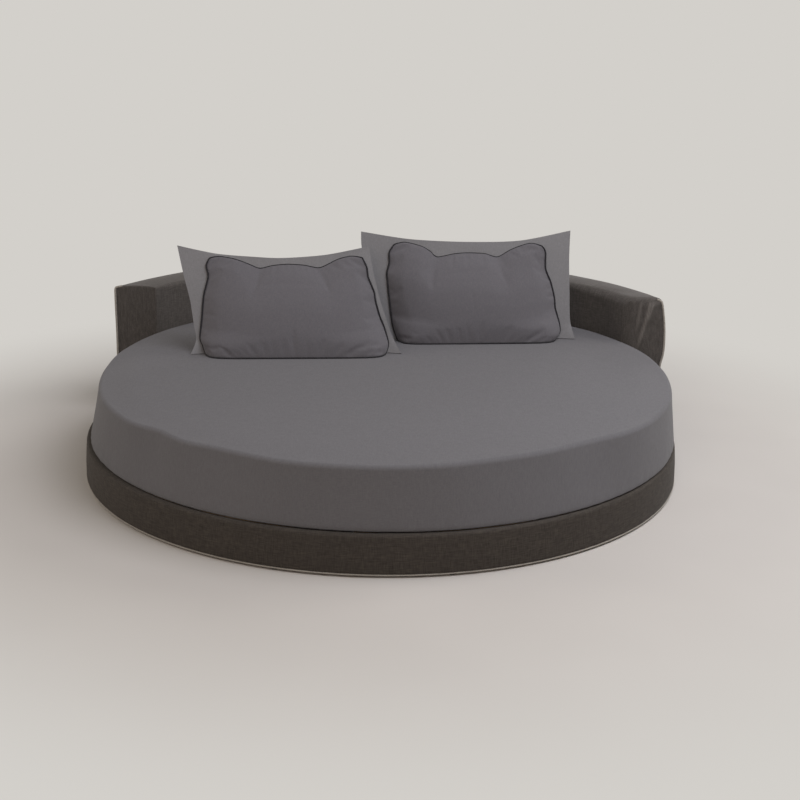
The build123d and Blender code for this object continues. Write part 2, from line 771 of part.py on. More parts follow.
bolt_head_face = inner_washer_face - piece_gap
nut_start = outer_washer_start + washer_thickness + piece_gap
bolt_length = nut_start + nut_height + bolt_tail - bolt_head_face
with BuildPart() as headboard_bolts:
    radial_rods(bolt_radius, bolt_head_face, bolt_length, bolt_angles, bolt_rise)
    for angle in bolt_angles:
        with BuildSketch(facing_plane(bolt_head_face - bolt_head_height, angle, bolt_rise)) as head:
            RegularPolygon(bolt_head_radius, 6)
        extrude(head.sketch, amount=bolt_head_height)
keep(headboard_bolts.part, "headboard_bolts")

with BuildPart() as headboard_nuts:
    for angle in bolt_angles:
        with BuildSketch(facing_plane(nut_start, angle, bolt_rise)) as hexagon:
            RegularPolygon(bolt_head_radius, 6)
            Circle(bolt_radius + screw_play, mode=Mode.SUBTRACT)
        extrude(hexagon.sketch, amount=nut_height)
keep(headboard_nuts.part, "headboard_nuts")

# Mattress: layers turned about its own axis, which sits a little off the base's
mattress_plane = Plane(
    origin=(mattress_shift_x, mattress_shift_y, 0), x_dir=(1, 0, 0), z_dir=(0, -1, 0)
)
mattress_axis = Axis((mattress_shift_x, mattress_shift_y, 0), (0, 0, 1))


def mattress_section(inset):
    """Half the mattress's section, drawn in by an inset, with its soft shoulder."""
    with BuildSketch(mattress_plane) as section:
        span(0, mattress_radius - inset, mattress_bottom + inset, mattress_top - inset)
        rim = section.vertices().group_by(Axis.X)[-1].sort_by(Axis.Y)
        fillet(rim[-1], mattress_shoulder_radius - inset)
        rim = section.vertices().group_by(Axis.X)[-1].sort_by(Axis.Y)
        fillet(rim[0], mattress_bottom_edge_radius - inset)
    return section.sketch


def mattress_band(outer_inset, inner_inset, bottom, top):
    """A skin of the mattress between two insets, cut off below and above two heights."""
    with BuildPart() as band:
        revolve(mattress_section(outer_inset), axis=mattress_axis)
        revolve(mattress_section(inner_inset), axis=mattress_axis, mode=Mode.SUBTRACT)
        split(bisect_by=Plane.XY.offset(bottom), keep=Keep.TOP)
        split(bisect_by=Plane.XY.offset(top), keep=Keep.BOTTOM)
    return band.part


def mattress_disc(inner, outer, bottom, top):
    """A flat layer of the mattress between two radii and two heights."""
    with BuildPart() as layer:
        with BuildSketch(mattress_plane) as section:
            span(inner, outer, bottom, top)
        revolve(section.sketch, axis=mattress_axis)
    return layer.part


lower_tape_bottom = mattress_bottom + mattress_bottom_edge_radius
lower_tape_top = lower_tape_bottom + tape_width
upper_tape_top = mattress_top - mattress_shoulder_radius
upper_tape_bottom = upper_tape_top - tape_width
panel_inset = ticking_inset + ticking_thickness
bottom_panel = mattress_band(ticking_inset, panel_inset, mattress_bottom, lower_tape_bottom)
keep(bottom_panel, "mattress_bottom_panel")
border = mattress_band(
    ticking_inset, panel_inset, lower_tape_top + piece_gap, upper_tape_bottom - piece_gap
)
keep(border, "mattress_border")
top_panel = mattress_band(ticking_inset, panel_inset, upper_tape_top + piece_gap, mattress_top)
keep(top_panel, "mattress_top_panel")
with BuildPart() as tapes:
    add(mattress_band(ticking_inset, panel_inset, lower_tape_bottom + piece_gap, lower_tape_top))
    add(mattress_band(ticking_inset, panel_inset, upper_tape_bottom, upper_tape_top))
keep(tapes.part, "mattress_tapes")

felt_radius = filling_radius - mattress_bottom_edge_radius
base_felt = mattress_disc(0, felt_radius, mattress_bottom + filling_inset, base_felt_top)
keep(base_felt, "mattress_base_felt")
spring_unit = mattress_disc(0, spring_radius, base_felt_top, insulator_bottom)
keep(spring_unit, "mattress_spring_unit")
with BuildPart() as edge_foam:
    revolve(mattress_section(filling_inset), axis=mattress_axis)
    with BuildSketch(mattress_plane) as core:
        span(0, spring_radius + piece_gap, mattress_bottom, mattress_top)
    revolve(core.sketch, axis=mattress_axis, mode=Mode.SUBTRACT)
    split(bisect_by=Plane.XY.offset(base_felt_top), keep=Keep.TOP)
    split(bisect_by=Plane.XY.offset(insulator_bottom), keep=Keep.BOTTOM)
keep(edge_foam.part, "mattress_edge_foam")
insulator = mattress_disc(0, filling_radius, insulator_bottom, comfort_foam_bottom)
keep(insulator, "mattress_insulator")
with BuildPart() as comfort_foam:
    revolve(mattress_section(filling_inset), axis=mattress_axis)
    split(bisect_by=Plane.XY.offset(comfort_foam_bottom), keep=Keep.TOP)
keep(comfort_foam.part, "mattress_comfort_foam")

# Fitted sheet, pulled over the mattress and turned in under it
hem_radius = mattress_radius - hem_width
with BuildPart() as fitted_sheet:
    revolve(mattress_section(0), axis=mattress_axis)
    revolve(mattress_section(sheet_thickness), axis=mattress_axis, mode=Mode.SUBTRACT)
    with BuildSketch(mattress_plane) as opening:
        span(0, hem_radius, 0, mattress_bottom + 2 * sheet_thickness)
    revolve(opening.sketch, axis=mattress_axis, mode=Mode.SUBTRACT)
keep(fitted_sheet.part, "fitted_sheet")

sheet_elastic = mattress_disc(
    hem_radius - piece_gap - elastic_width,
    hem_radius - piece_gap,
    mattress_bottom,
    mattress_bottom + sheet_thickness,
)
keep(sheet_elastic, "sheet_elastic")


def pillow_point(place, yaw, lean, across, up):
    """A point of a pillow's middle sheet, from its place across and up the lean."""
    forward = up * cos(radians(lean))
    x = place[0] + across * cos(radians(yaw)) - forward * sin(radians(yaw))
    y = place[1] + across * sin(radians(yaw)) + forward * cos(radians(yaw))
    return (x, y, place[2] + up * sin(radians(lean)))


def pillow_body(place, yaw, lean, grow, floor):
    """Lofts a pillow's crowned body through level sections, grown by a thickness."""
    tallest = pillow_body_height + grow
    sections = []
    for level, centre, half, front, back in zip(
        body_level_shares,
        body_centre_shares,
        body_half_width_shares,
        body_front_shares,
        body_back_shares,
    ):
        up = floor / sin(radians(lean)) if level == 0 else level * tallest
        reach = half * pillow_body_width / 2 + grow
        origin = pillow_point(place, yaw, lean, centre * pillow_body_width / 2, up)
        turned = (cos(radians(yaw)), sin(radians(yaw)), 0)
        tip = pillow_tip / 2 + grow
        with BuildSketch(Plane(origin=origin, x_dir=turned, z_dir=(0, 0, 1))) as section:
            with BuildLine():
                front_crest = (0, -front * pillow_front_bulge - grow - pillow_tip / 2)
                back_crest = (0, back * pillow_back_bulge + grow + pillow_tip / 2)
                ThreePointArc((-reach, -tip), front_crest, (reach, -tip))
                Line((reach, -tip), (reach, tip))
                ThreePointArc((reach, tip), back_crest, (-reach, tip))
                Line((-reach, tip), (-reach, -tip))
            make_face()
        sections.append(section.sketch)
    with BuildPart() as body:
        loft(sections)
    return body.part


def make_pillow(name, place, yaw, lean, flange_shares):
    """Makes one pillow: its filling, its flanged case and the piping round the crown."""
    filling = pillow_body(place, yaw, lean, -piece_gap, case_thickness + piece_gap)
    keep(filling, f"{name}_filling")

    sheet_origin = pillow_point(place, yaw, lean, 0, 0)
    turned = (cos(radians(yaw)), sin(radians(yaw)), 0)
    tilt = sin(radians(lean))
    facing = (tilt * sin(radians(yaw)), -tilt * cos(radians(yaw)), cos(radians(lean)))
    sheet_plane = Plane(origin=sheet_origin, x_dir=turned, z_dir=facing)
    half = pillow_width / 2
    points = [(across * half, up * pillow_height) for across, up in flange_shares]
    with BuildPart() as case:
        with BuildSketch(sheet_plane.offset(-flange_thickness / 2)) as flange:
            with BuildLine():
                ThreePointArc(points[0], points[1], points[2])
                ThreePointArc(points[2], points[3], points[4])
                ThreePointArc(points[4], points[5], points[6])
                Line(points[6], points[0])
            make_face()
        extrude(flange.sketch, amount=flange_thickness)
        add(pillow_body(place, yaw, lean, case_thickness, 0))
        add(pillow_body(place, yaw, lean, 0, case_thickness), mode=Mode.SUBTRACT)
        split(bisect_by=Plane.XY.offset(place[2]), keep=Keep.TOP)
    keep(case.part, f"{name}_case")

    route = [(across * half, up * pillow_height) for across, up in piping_shares]
    piping_plane = sheet_plane.offset(flange_thickness / 2 + piece_gap + piping_radius)
    with BuildPart() as piping:
        with BuildLine(piping_plane) as path:
            FilletPolyline(*route, radius=piping_corner_radius)
        with BuildSketch(Plane(path.line @ 0, z_dir=path.line % 0)) as bead:
            Circle(piping_radius)
        sweep(bead.sketch, path=path.line)
    keep(piping.part, f"{name}_piping")


make_pillow(
    "pillow_left",
    (left_pillow_x, left_pillow_y, pillow_rest),
    left_pillow_yaw,
    left_pillow_lean,
    left_flange_shares,
)
make_pillow(
    "pillow_right",
    (right_pillow_x, right_pillow_y, pillow_rest),
    right_pillow_yaw,
    right_pillow_lean,
    right_flange_shares,
)
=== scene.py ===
"""Round bed: the dressed model and its studio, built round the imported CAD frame.

Metres, with the origin on the floor under the middle of the base, +Z up, the open front towards
-Y and the headboard towards +Y.
"""

import logging
import math
from dataclasses import dataclass
from enum import Enum
from typing import Any, Callable, Optional, Sequence, Union

import bmesh
import bpy
from mathutils import Matrix, Vector, noise


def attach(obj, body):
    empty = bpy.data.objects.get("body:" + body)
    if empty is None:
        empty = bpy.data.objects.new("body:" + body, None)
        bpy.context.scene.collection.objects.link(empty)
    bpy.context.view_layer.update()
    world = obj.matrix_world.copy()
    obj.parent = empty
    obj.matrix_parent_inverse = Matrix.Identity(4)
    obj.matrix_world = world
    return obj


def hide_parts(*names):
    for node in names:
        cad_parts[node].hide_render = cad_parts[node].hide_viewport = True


log = logging.getLogger("round_bed")

MM = 0.001
# The wave texture's rings lie this far apart at a scale of one.
RING_UNIT = 2 * math.pi / 20
Point = tuple[float, float]
Knots = tuple[Point, ...]


def linear(code: str) -> tuple[float, float, float, float]:
    """Turns an sRGB hex colour into the linear colour that a shader takes.

    Args:
        code: The colour as "#rrggbb".

    Returns:
        Red, green, blue and an alpha of one.
    """
    shares = [int(code[i : i + 2], 16) / 255 for i in (1, 3, 5)]
    lit = [s / 12.92 if s <= 0.04045 else ((s + 0.055) / 1.055) ** 2.4 for s in shares]
    return (lit[0], lit[1], lit[2], 1.0)


def smooth_step(low: float, high: float, value: float) -> float:
    """Rises smoothly from 0 at low to 1 at high."""
    share = min(1.0, max(0.0, (value - low) / (high - low)))
    return share * share * (3 - 2 * share)


def along(knots: Knots, place: float) -> float:
    """Reads a value off a list of knots, along a smooth curve without steps.

    Args:
        knots: Pairs of place and value, in rising order of place.
        place: Where to read.

    Returns:
        The value there.
    """
    last = len(knots) - 2
    index = next((i for i in range(last + 1) if place <= knots[i + 1][0]), last)
    before, after = knots[max(0, index - 1)], knots[min(last + 1, index + 2)]
    (low, start), (high, end) = knots[index], knots[index + 1]
    span = high - low
    share = min(1.0, max(0.0, (place - low) / span))
    rise_start = (end - before[1]) / (high - before[0]) * span
    rise_end = (after[1] - start) / (after[0] - low) * span
    square, cube = share**2, share**3
    return (
        (2 * cube - 3 * square + 1) * start
        + (cube - 2 * square + share) * rise_start
        + (3 * square - 2 * cube) * end
        + (cube - square) * rise_end
    )


def hump(place: float, middle: float, width: float) -> float:
    """Rises smoothly to 1 at the middle and falls away on both sides over a width."""
    return math.exp(-(((place - middle) / width) ** 2))


def turn_from(turn: float, degrees: float) -> float:
    """Gives how many degrees a turn in radians lies from a direction, from -180 to 180."""
    return (math.degrees(turn) - degrees + 180) % 360 - 180


def waver(x: float, y: float, z: float) -> float:
    """Gives smooth noise between about -1 and 1, the same in each run."""
    return noise.noise(Vector((x, y, z)))


class Lay(Enum):
    """How a pattern lies on a piece."""

    FLAT = "straight across the bed"
    ROUND = "wrapped round the bed's axis"


class Grain(Enum):
    """Which way the wood's fibres run, as the two axes that they cross."""

    ALONG_X = (0.0, 1.0, 1.0)
    ALONG_Y = (1.0, 0.0, 1.0)
    ALONG_Z = (1.0, 1.0, 0.0)


class Kind(Enum):
    """The kinds of mesh element, as the select mode calls them and as bmesh does."""

    VERT = "verts"
    EDGE = "edges"
    FACE = "faces"


# What an input takes: a value, another node's output, or a node, which gives its first output.
Feed = Union[float, Sequence[float], bpy.types.NodeSocket, bpy.types.Node]


class NodeWork:
    """A node tree in the making, for a material or for the world."""

    def __init__(self, tree: bpy.types.NodeTree) -> None:
        """Empties the tree, ready for new nodes."""
        self.tree = tree
        self.tree.nodes.clear()

    def node(
        self, kind: str, settings: Optional[dict[str, Any]] = None, **feeds: Feed
    ) -> bpy.types.Node:
        """Adds a node with its settings and links.

        Args:
            kind: Blender's name for the node.
            settings: Properties of the node.
            feeds: Input names with _ for a blank, or i and a number, and what each takes.

        Returns:
            The node.
        """
        made = self.tree.nodes.new(kind)
        for key, value in (settings or {}).items():
            setattr(made, key, value)
        self.feed(made, **feeds)
        return made

    def feed(self, made: bpy.types.Node, **feeds: Feed) -> None:
        """Links or sets a node's inputs.

        Args:
            made: The node.
            feeds: Input names with _ for a blank, or i and a number, and what each takes.
        """
        for key, value in feeds.items():
            socket = made.inputs[int(key[1:]) if key[1:].isdigit() else key.replace("_", " ")]
            if isinstance(value, bpy.types.Node):
                value = value.outputs[0]
            if isinstance(value, bpy.types.NodeSocket):
                self.tree.links.new(value, socket)
            else:
                socket.default_value = value

    def seen(self) -> bpy.types.Node:
        """Gives 1 for the rays that show the backdrop: straight, mirrored or through glass."""
        ray = self.node("ShaderNodeLightPath").outputs
        either = ray["Is Camera Ray"]
        for kind in ("Is Glossy Ray", "Is Transmission Ray"):
            either = self.node("ShaderNodeMath", {"operation": "MAXIMUM"}, i0=either, i1=ray[kind])
        return either


class Bath(NodeWork):
    """A material in the making: its node tree, its shader and what feeds them."""

    def __init__(self, name: str, **constants: float) -> None:
        """Starts a material with one shader, whose plain sockets take constants.

        Args:
            name: The material's name.
            constants: Socket names with _ for a blank, and their values.
        """
        self.material = bpy.data.materials.new(name)
        self.material.use_nodes = True
        super().__init__(self.material.node_tree)
        self.shader = self.node("ShaderNodeBsdfPrincipled", **constants)
        self.output = self.node("ShaderNodeOutputMaterial", Surface=self.shader)
        self.place = self.node("ShaderNodeTexCoord").outputs["Object"]

    def wrap(self, lay: Lay, radius: float) -> Feed:
        """Gives the coordinates that a pattern lies on, in metres.

        Args:
            lay: Flat, or wrapped round the bed's axis.
            radius: The radius at which wrapped metres are true.

        Returns:
            The coordinates: along, outwards or across, and up.
        """
        if lay is Lay.FLAT:
            return self.place
        parts = self.node("ShaderNodeSeparateXYZ", Vector=self.place).outputs
        turn = self.node("ShaderNodeMath", {"operation": "ARCTAN2"}, i0=parts["Y"], i1=parts["X"])
        flat = self.node("ShaderNodeCombineXYZ", X=parts["X"], Y=parts["Y"])
        reach = self.node("ShaderNodeVectorMath", {"operation": "LENGTH"}, i0=flat)
        around = self.node("ShaderNodeMath", {"operation": "MULTIPLY"}, i0=turn, i1=radius)
        return self.node("ShaderNodeCombineXYZ", X=around, Y=reach.outputs["Value"], Z=parts["Z"])

    def grainy(
        self, where: Feed, sizes_mm: Sequence[float], detail: float = 2.0
    ) -> bpy.types.Node:
        """Adds noise whose grain has a size of its own each way.

        Args:
            where: The coordinates, in metres.
            sizes_mm: The grain's real size along each of the three coordinates.
            detail: The noise's octaves.

        Returns:
            The noise, around one half.
        """
        scale = tuple(1 / (size * MM) for size in sizes_mm)
        scaled = self.node("ShaderNodeMapping", Vector=where, Scale=scale)
        return self.node("ShaderNodeTexNoise", Vector=scaled, Scale=1.0, Detail=detail)

    def tint(self, share: Feed, stops: Sequence[tuple[float, str]]) -> bpy.types.Node:
        """Turns a value into a colour by a ramp of hex colours.

        Args:
            share: The value.
            stops: Places from 0 to 1, each with its hex colour.

        Returns:
            The ramp.
        """
        ramp = self.node("ShaderNodeValToRGB", Fac=share)
        row = ramp.color_ramp.elements
        while len(row) < len(stops):
            row.new(0.5)
        for stop, (place, code) in zip(row, stops):
            stop.position = place
            stop.color = linear(code)
        return ramp

    def shade(self, colour: Feed, pattern: Feed, strength: float, code: str) -> Feed:
        """Draws a colour towards another one where a pattern is high.

        Args:
            colour: The colour so far.
            pattern: The pattern, from 0 to 1.
            strength: How far the colour goes where the pattern is 1.
            code: The other colour, as a hex code.

        Returns:
            The mixed colour.
        """
        share = self.node("ShaderNodeMath", {"operation": "MULTIPLY"}, i0=pattern, i1=strength)
        towards = linear(code)
        mixed = self.node("ShaderNodeMix", {"data_type": "RGBA"}, i0=share, i6=colour, i7=towards)
        return mixed.outputs[2]

    def relief(self, steps: Sequence[tuple[Feed, float]]) -> bpy.types.Node:
        """Chains bumps of real depths.

        Args:
            steps: Heights, each with its depth in millimetres.

        Returns:
            The last bump, which gives the normal.
        """
        bumps = [
            self.node("ShaderNodeBump", Strength=1.0, Distance=depth_mm * MM, Height=height)
            for height, depth_mm in steps
        ]
        for below, above in zip(bumps, bumps[1:]):
            self.feed(above, Normal=below)
        return bumps[-1]

    def finish(
        self, colour: Feed, normal: Feed, rough: Optional[Feed] = None
    ) -> bpy.types.Material:
        """Joins colour, normal and roughness to the shader.

        Args:
            colour: The colour.
            normal: The normal.
            rough: The roughness, where it varies.

        Returns:
            The finished material.
        """
        self.feed(self.shader, Base_Color=colour, Normal=normal)
        if rough is not None:
            self.feed(self.shader, Roughness=rough)
        return self.material


@dataclass(frozen=True)
class WovenCloth:
    """Plain-woven cloth: warp and weft slubs in two directions, soft blotches and a faint nap.

    The threads are finer than the picture can show, so they are drawn as coarse slubs.
    """

    name: str
    colour: str
    dark: str
    light: str
    thread_mm: float
    slub_mm: float
    depth_mm: float
    crease_mm: float
    crease_depth_mm: float
    roughness: float
    sheen: float
    lay: Lay = Lay.FLAT
    radius: float = 1.0
    seam: bool = False
    # The paler colour of a painted highlight, drawn where the mesh marks it; none if empty.
    rubbed: str = ""
    sheen_roughness: float = 0.45
    specular: float = 0.12
    blotch_mm: float = 190.0
    seam_width_mm: float = 3.0
    seam_depth_mm: float = 2.0
    rough_spread: float = 0.06

    def build(self) -> bpy.types.Material:
        """Makes the cloth's material, with a paler colour painted in as a highlight where the
        mesh's highlight attribute is high.

        Returns:
            The material.
        """
        bath = Bath(
            self.name,
            Sheen_Weight=self.sheen,
            Sheen_Roughness=self.sheen_roughness,
            Specular_IOR_Level=self.specular,
        )
        where = bath.wrap(self.lay, self.radius)
        fine, long = self.thread_mm, self.slub_mm
        weft = bath.grainy(where, (long, fine, fine))
        warp = bath.grainy(where, (fine, long, long))
        both = bath.node("ShaderNodeMath", {"operation": "ADD"}, i0=weft, i1=warp)
        weave = bath.node("ShaderNodeMath", {"operation": "MULTIPLY"}, i0=both, i1=0.5)
        blotch = bath.grainy(where, (self.blotch_mm,) * 3, 3.0)
        crease = bath.grainy(where, (self.crease_mm, self.crease_mm, 2.4 * self.crease_mm))
        colour = bath.tint(weave, ((0.34, self.dark), (0.5, self.colour), (0.66, self.light)))
        colour = bath.shade(colour, blotch, 0.22, self.dark)
        # Painted highlight: the pleats' ridges are drawn towards a paler colour, for the light that
        # they catch.
        if self.rubbed:
            wear_and_highlight = bath.node("ShaderNodeAttribute", {"attribute_name": "rubbed"}).outputs["Fac"]
            colour = bath.shade(colour, wear_and_highlight, 0.75, self.rubbed)
        steps = [(crease, self.crease_depth_mm), (weave, self.depth_mm)]
        if self.seam:
            across = bath.node("ShaderNodeSeparateXYZ", Vector=bath.place).outputs["Y"]
            off = bath.node("ShaderNodeMath", {"operation": "ABSOLUTE"}, i0=across)
            width = self.seam_width_mm * MM
            groove = bath.node("ShaderNodeMapRange", Value=off, From_Min=0.0, From_Max=width)
            steps.append((groove, self.seam_depth_mm))
            sunk = bath.node("ShaderNodeMath", {"operation": "SUBTRACT"}, i0=1.0, i1=groove)
            colour = bath.shade(colour, sunk, 1.0, self.dark)
        rough = bath.node(
            "ShaderNodeMapRange",
            Value=weave,
            From_Min=0.3,
            From_Max=0.7,
            To_Min=self.roughness + self.rough_spread,
            To_Max=self.roughness - self.rough_spread,
        )
        return bath.finish(colour, bath.relief(steps), rough)


@dataclass(frozen=True)
class Plywood:
    """Veneer plywood: thin plies that change from long grain to end grain, seen at every edge."""

    name: str
    face: str = "#a58a66"
    cross: str = "#77593a"
    figure: str = "#c2a881"
    ply_mm: float = 1.5
    fibre_mm: float = 2.5
    fibre_length_mm: float = 140.0
    figure_mm: tuple[float, float, float] = (45.0, 45.0, 260.0)
    lay: Lay = Lay.ROUND

    def build(self) -> bpy.types.Material:
        """Makes the material, with plies outwards on bent boards and upwards on flat ones.

        Returns:
            The material.
        """
        bath = Bath(self.name, Specular_IOR_Level=0.35)
        where = bath.wrap(self.lay, 1.0)
        bent = self.lay is Lay.ROUND
        through = bath.node("ShaderNodeSeparateXYZ", Vector=where).outputs["Y" if bent else "Z"]
        count = bath.node(
            "ShaderNodeMath", {"operation": "DIVIDE"}, i0=through, i1=self.ply_mm * MM
        )
        ply = bath.node("ShaderNodeMath", {"operation": "FLOOR"}, i0=count)
        odd = bath.node("ShaderNodeMath", {"operation": "MODULO"}, i0=ply, i1=2.0)
        turned = bath.node("ShaderNodeMath", {"operation": "ABSOLUTE"}, i0=odd)
        fine, long = self.fibre_mm, self.fibre_length_mm
        fibre = bath.grainy(where, (fine, fine, long) if bent else (long, fine, fine), 4.0)
        figure = bath.grainy(where, self.figure_mm)
        colour = bath.tint(fibre, ((0.3, self.cross), (0.62, self.face)))
        colour = bath.shade(colour, turned, 0.45, self.cross)
        colour = bath.shade(colour, figure, 0.25, self.figure)
        rough = bath.node("ShaderNodeMapRange", Value=fibre, To_Min=0.5, To_Max=0.72)
        return bath.finish(colour, bath.relief(((fibre, 0.25),)), rough)


@dataclass(frozen=True)
class SawnPine:
    """Planed pine: growth rings cut lengthways, darker late wood and a few resin streaks."""

    name: str
    grain: Grain
    early: str = "#c0a276"
    middle: str = "#b08c5c"
    late: str = "#8f6a3f"
    ring_mm: float = 5.0
    fibre_mm: float = 1.2
    fibre_length_mm: float = 90.0
    pitch: float = 0.0
    log_reach: float = 0.12

    def build(self) -> bpy.types.Material:
        """Makes the pine's material, with a fresh cut of the log for each board in a row.

        Returns:
            The material.
        """
        bath = Bath(self.name, Specular_IOR_Level=0.3)
        where = self.cut(bath) if self.pitch else bath.place
        across = tuple(0.06 + 0.94 * s for s in self.grain.value)
        squeezed = bath.node("ShaderNodeMapping", Vector=where, Scale=across)
        rings = bath.node(
            "ShaderNodeTexWave",
            {"wave_type": "RINGS", "rings_direction": "SPHERICAL", "wave_profile": "SAW"},
            Vector=squeezed,
            Scale=RING_UNIT / (self.ring_mm * MM),
            Distortion=2.2,
            Detail=2.0,
            Detail_Scale=0.6,
        ).outputs["Fac"]
        fibre_mm = tuple(self.fibre_mm if s else self.fibre_length_mm for s in self.grain.value)
        fibre = bath.grainy(where, fibre_mm, 3.0)
        colour = bath.tint(rings, ((0.15, self.early), (0.8, self.middle), (0.97, self.late)))
        colour = bath.shade(colour, fibre, 0.3, self.late)
        rough = bath.node("ShaderNodeMapRange", Value=fibre, To_Min=0.55, To_Max=0.75)
        return bath.finish(colour, bath.relief(((rings, 0.2), (fibre, 0.15))), rough)

    def cut(self, bath: Bath) -> bpy.types.Node:
        """Cuts each board of a row from its own place in the log.

        Args:
            bath: The material in the making.

        Returns:
            The coordinates of each board in its log.
        """
        parts = bath.node("ShaderNodeSeparateXYZ", Vector=bath.place).outputs
        count = bath.node("ShaderNodeMath", {"operation": "DIVIDE"}, i0=parts["Y"], i1=self.pitch)
        row = bath.node("ShaderNodeMath", {"operation": "ROUND"}, i0=count)
        board = bath.node("ShaderNodeTexWhiteNoise", {"noise_dimensions": "1D"}, W=row)
        middle = bath.node("ShaderNodeMath", {"operation": "MULTIPLY"}, i0=row, i1=self.pitch)
        centred = bath.node("ShaderNodeMath", {"operation": "SUBTRACT"}, i0=parts["Y"], i1=middle)
        drop = bath.node(
            "ShaderNodeMath",
            {"operation": "MULTIPLY"},
            i0=board.outputs["Value"],
            i1=self.log_reach,
        )
        aside = bath.node("ShaderNodeMath", {"operation": "MULTIPLY"}, i0=drop, i1=0.3)
        x, y, z = (
            bath.node("ShaderNodeMath", {"operation": "ADD"}, i0=start, i1=step)
            for start, step in ((parts["X"], drop), (centred, aside), (parts["Z"], drop))
        )
        return bath.node("ShaderNodeCombineXYZ", X=x, Y=y, Z=z)


@dataclass(frozen=True)
class ZincSteel:
    """Zinc-plated steel: a cool grey metal with faint spangle and patches dulled by rubbing."""

    name: str = "zinc_plated_steel"
    colour: str = "#b4b8bc"
    wear_and_highlight: str = "#8b8f93"
    spangle_mm: float = 4.0
    patch_mm: float = 22.0

    def build(self) -> bpy.types.Material:
        """Makes the plated steel's material.

        Returns:
            The material.
        """
        bath = Bath(self.name, Metallic=1.0)
        spangle = self.spangle_mm * MM
        cells = bath.node("ShaderNodeTexVoronoi", Vector=bath.place, Scale=1 / spangle)
        rub_and_highlight = bath.grainy(bath.place, (self.patch_mm,) * 3, 4.0)
        colour = bath.tint(cells.outputs["Distance"], ((0.0, self.colour), (0.9, self.wear_and_highlight)))
        colour = bath.shade(colour, rub_and_highlight, 0.35, self.wear_and_highlight)
        rough = bath.node("ShaderNodeMapRange", Value=rub_and_highlight, To_Min=0.26, To_Max=0.5)
        return bath.finish(colour, bath.relief(((rub_and_highlight, 0.05),)), rough)


@dataclass(frozen=True)
class GrainyStuff:
    """A stuff with no weave: moulded nylon or felt, told apart by grain and colour."""

    name: str
    colour: str
    dark: str
    light: str
    grain_mm: float
    stretch: float
    depth_mm: float
    roughness: float
    sheen: float = 0.0
    cloud_mm: float = 80.0
    rough_spread: float = 0.08

    def build(self) -> bpy.types.Material:
        """Makes the material from its grain and a few darker clouds.

        Returns:
            The material.
        """
        bath = Bath(self.name, Sheen_Weight=self.sheen, Specular_IOR_Level=0.3)
        size = self.grain_mm
        grain = bath.grainy(bath.place, (size * self.stretch, size * self.stretch, size), 3.0)
        cloud = bath.grainy(bath.place, (self.cloud_mm,) * 3)
        colour = bath.tint(grain, ((0.2, self.dark), (0.5, self.colour), (0.8, self.light)))
        colour = bath.shade(colour, cloud, 0.3, self.dark)
        low, high = self.roughness - self.rough_spread, self.roughness + self.rough_spread
        rough = bath.node("ShaderNodeMapRange", Value=cloud, To_Min=low, To_Max=high)
        return bath.finish(colour, bath.relief(((grain, self.depth_mm),)), rough)


@dataclass(frozen=True)
class StripedTicking:
    """Mattress ticking or spring fabric: bands of twill, or a grid of pocket tops, on pale yarn."""

    name: str
    colour: str = "#a5a29d"
    band: str = "#8a8884"
    band_mm: float = 36.0
    thread_mm: float = 1.6
    pockets: bool = False
    yarn: str = "#77746f"

    def build(self) -> bpy.types.Material:
        """Makes the ticking's material.

        Returns:
            The material.
        """
        bath = Bath(self.name, Sheen_Weight=0.15, Specular_IOR_Level=0.25)
        parts = bath.node("ShaderNodeSeparateXYZ", Vector=bath.place).outputs
        swing = self.swing(bath, parts["X"])
        half = bath.node("ShaderNodeMath", {"operation": "MULTIPLY"}, i0=swing, i1=0.5)
        stripe = bath.node("ShaderNodeMath", {"operation": "ADD"}, i0=half, i1=0.5)
        if self.pockets:
            rows = self.swing(bath, parts["Y"])
            lifted = bath.node("ShaderNodeMath", {"operation": "ADD"}, i0=rows, i1=1.0)
            stripe = bath.node("ShaderNodeMath", {"operation": "MULTIPLY"}, i0=stripe, i1=lifted)
        twill = bath.grainy(bath.place, (self.thread_mm, 8 * self.thread_mm, self.thread_mm))
        colour = bath.tint(stripe, ((0.35, self.band), (0.6, self.colour)))
        colour = bath.shade(colour, twill, 0.35, self.yarn)
        rough = bath.node("ShaderNodeMapRange", Value=twill, To_Min=0.75, To_Max=0.95)
        return bath.finish(colour, bath.relief(((stripe, 1.2), (twill, 0.3))), rough)

    def swing(self, bath: Bath, place: Feed) -> bpy.types.Node:
        """Gives a wave from -1 to 1 that repeats with each band.

        Args:
            bath: The material in the making.
            place: The coordinate that it runs along, in metres.

        Returns:
            The wave.
        """
        rate = 2 * math.pi / (self.band_mm * MM)
        turns = bath.node("ShaderNodeMath", {"operation": "MULTIPLY"}, i0=place, i1=rate)
        return bath.node("ShaderNodeMath", {"operation": "SINE"}, i0=turns)


# Upholstery: a matt polyester-linen cloth in taupe, woven, with slubs and a faint nap, and a paler
# taupe painted along the right end's pleats as a painted highlight.
TAUPE_CLOTH = WovenCloth(
    "taupe_upholstery_cloth", "#575350", "#4a4643", "#65605c", 2.6, 26, 0.35, 60, 0.8,
    0.82, 0.18, Lay.ROUND, 1.1, rubbed="#8f8a85",
)
# The same cloth on the base, its colours painted darker than the headboard's as painted shade low
# on the bed; it is closed by a slip-stitched seam at each side.
BASE_CLOTH_PAINTED_DARKER = WovenCloth(
    "taupe_base_cloth", "#48433f", "#3b3733", "#565049", 2.6, 26, 0.35, 70, 0.8,
    0.84, 0.05, Lay.ROUND, 1.02, True,
)
# Welt: bias-cut cloth round a thin cord, paler and smoother than the upholstery.
WELT_CLOTH = WovenCloth(
    "pale_welt_cloth", "#a49f97", "#8d8881", "#b8b3ab", 1.6, 5, 0.25, 30, 0.1,
    0.6, 0.1, Lay.ROUND, 1.02,
)
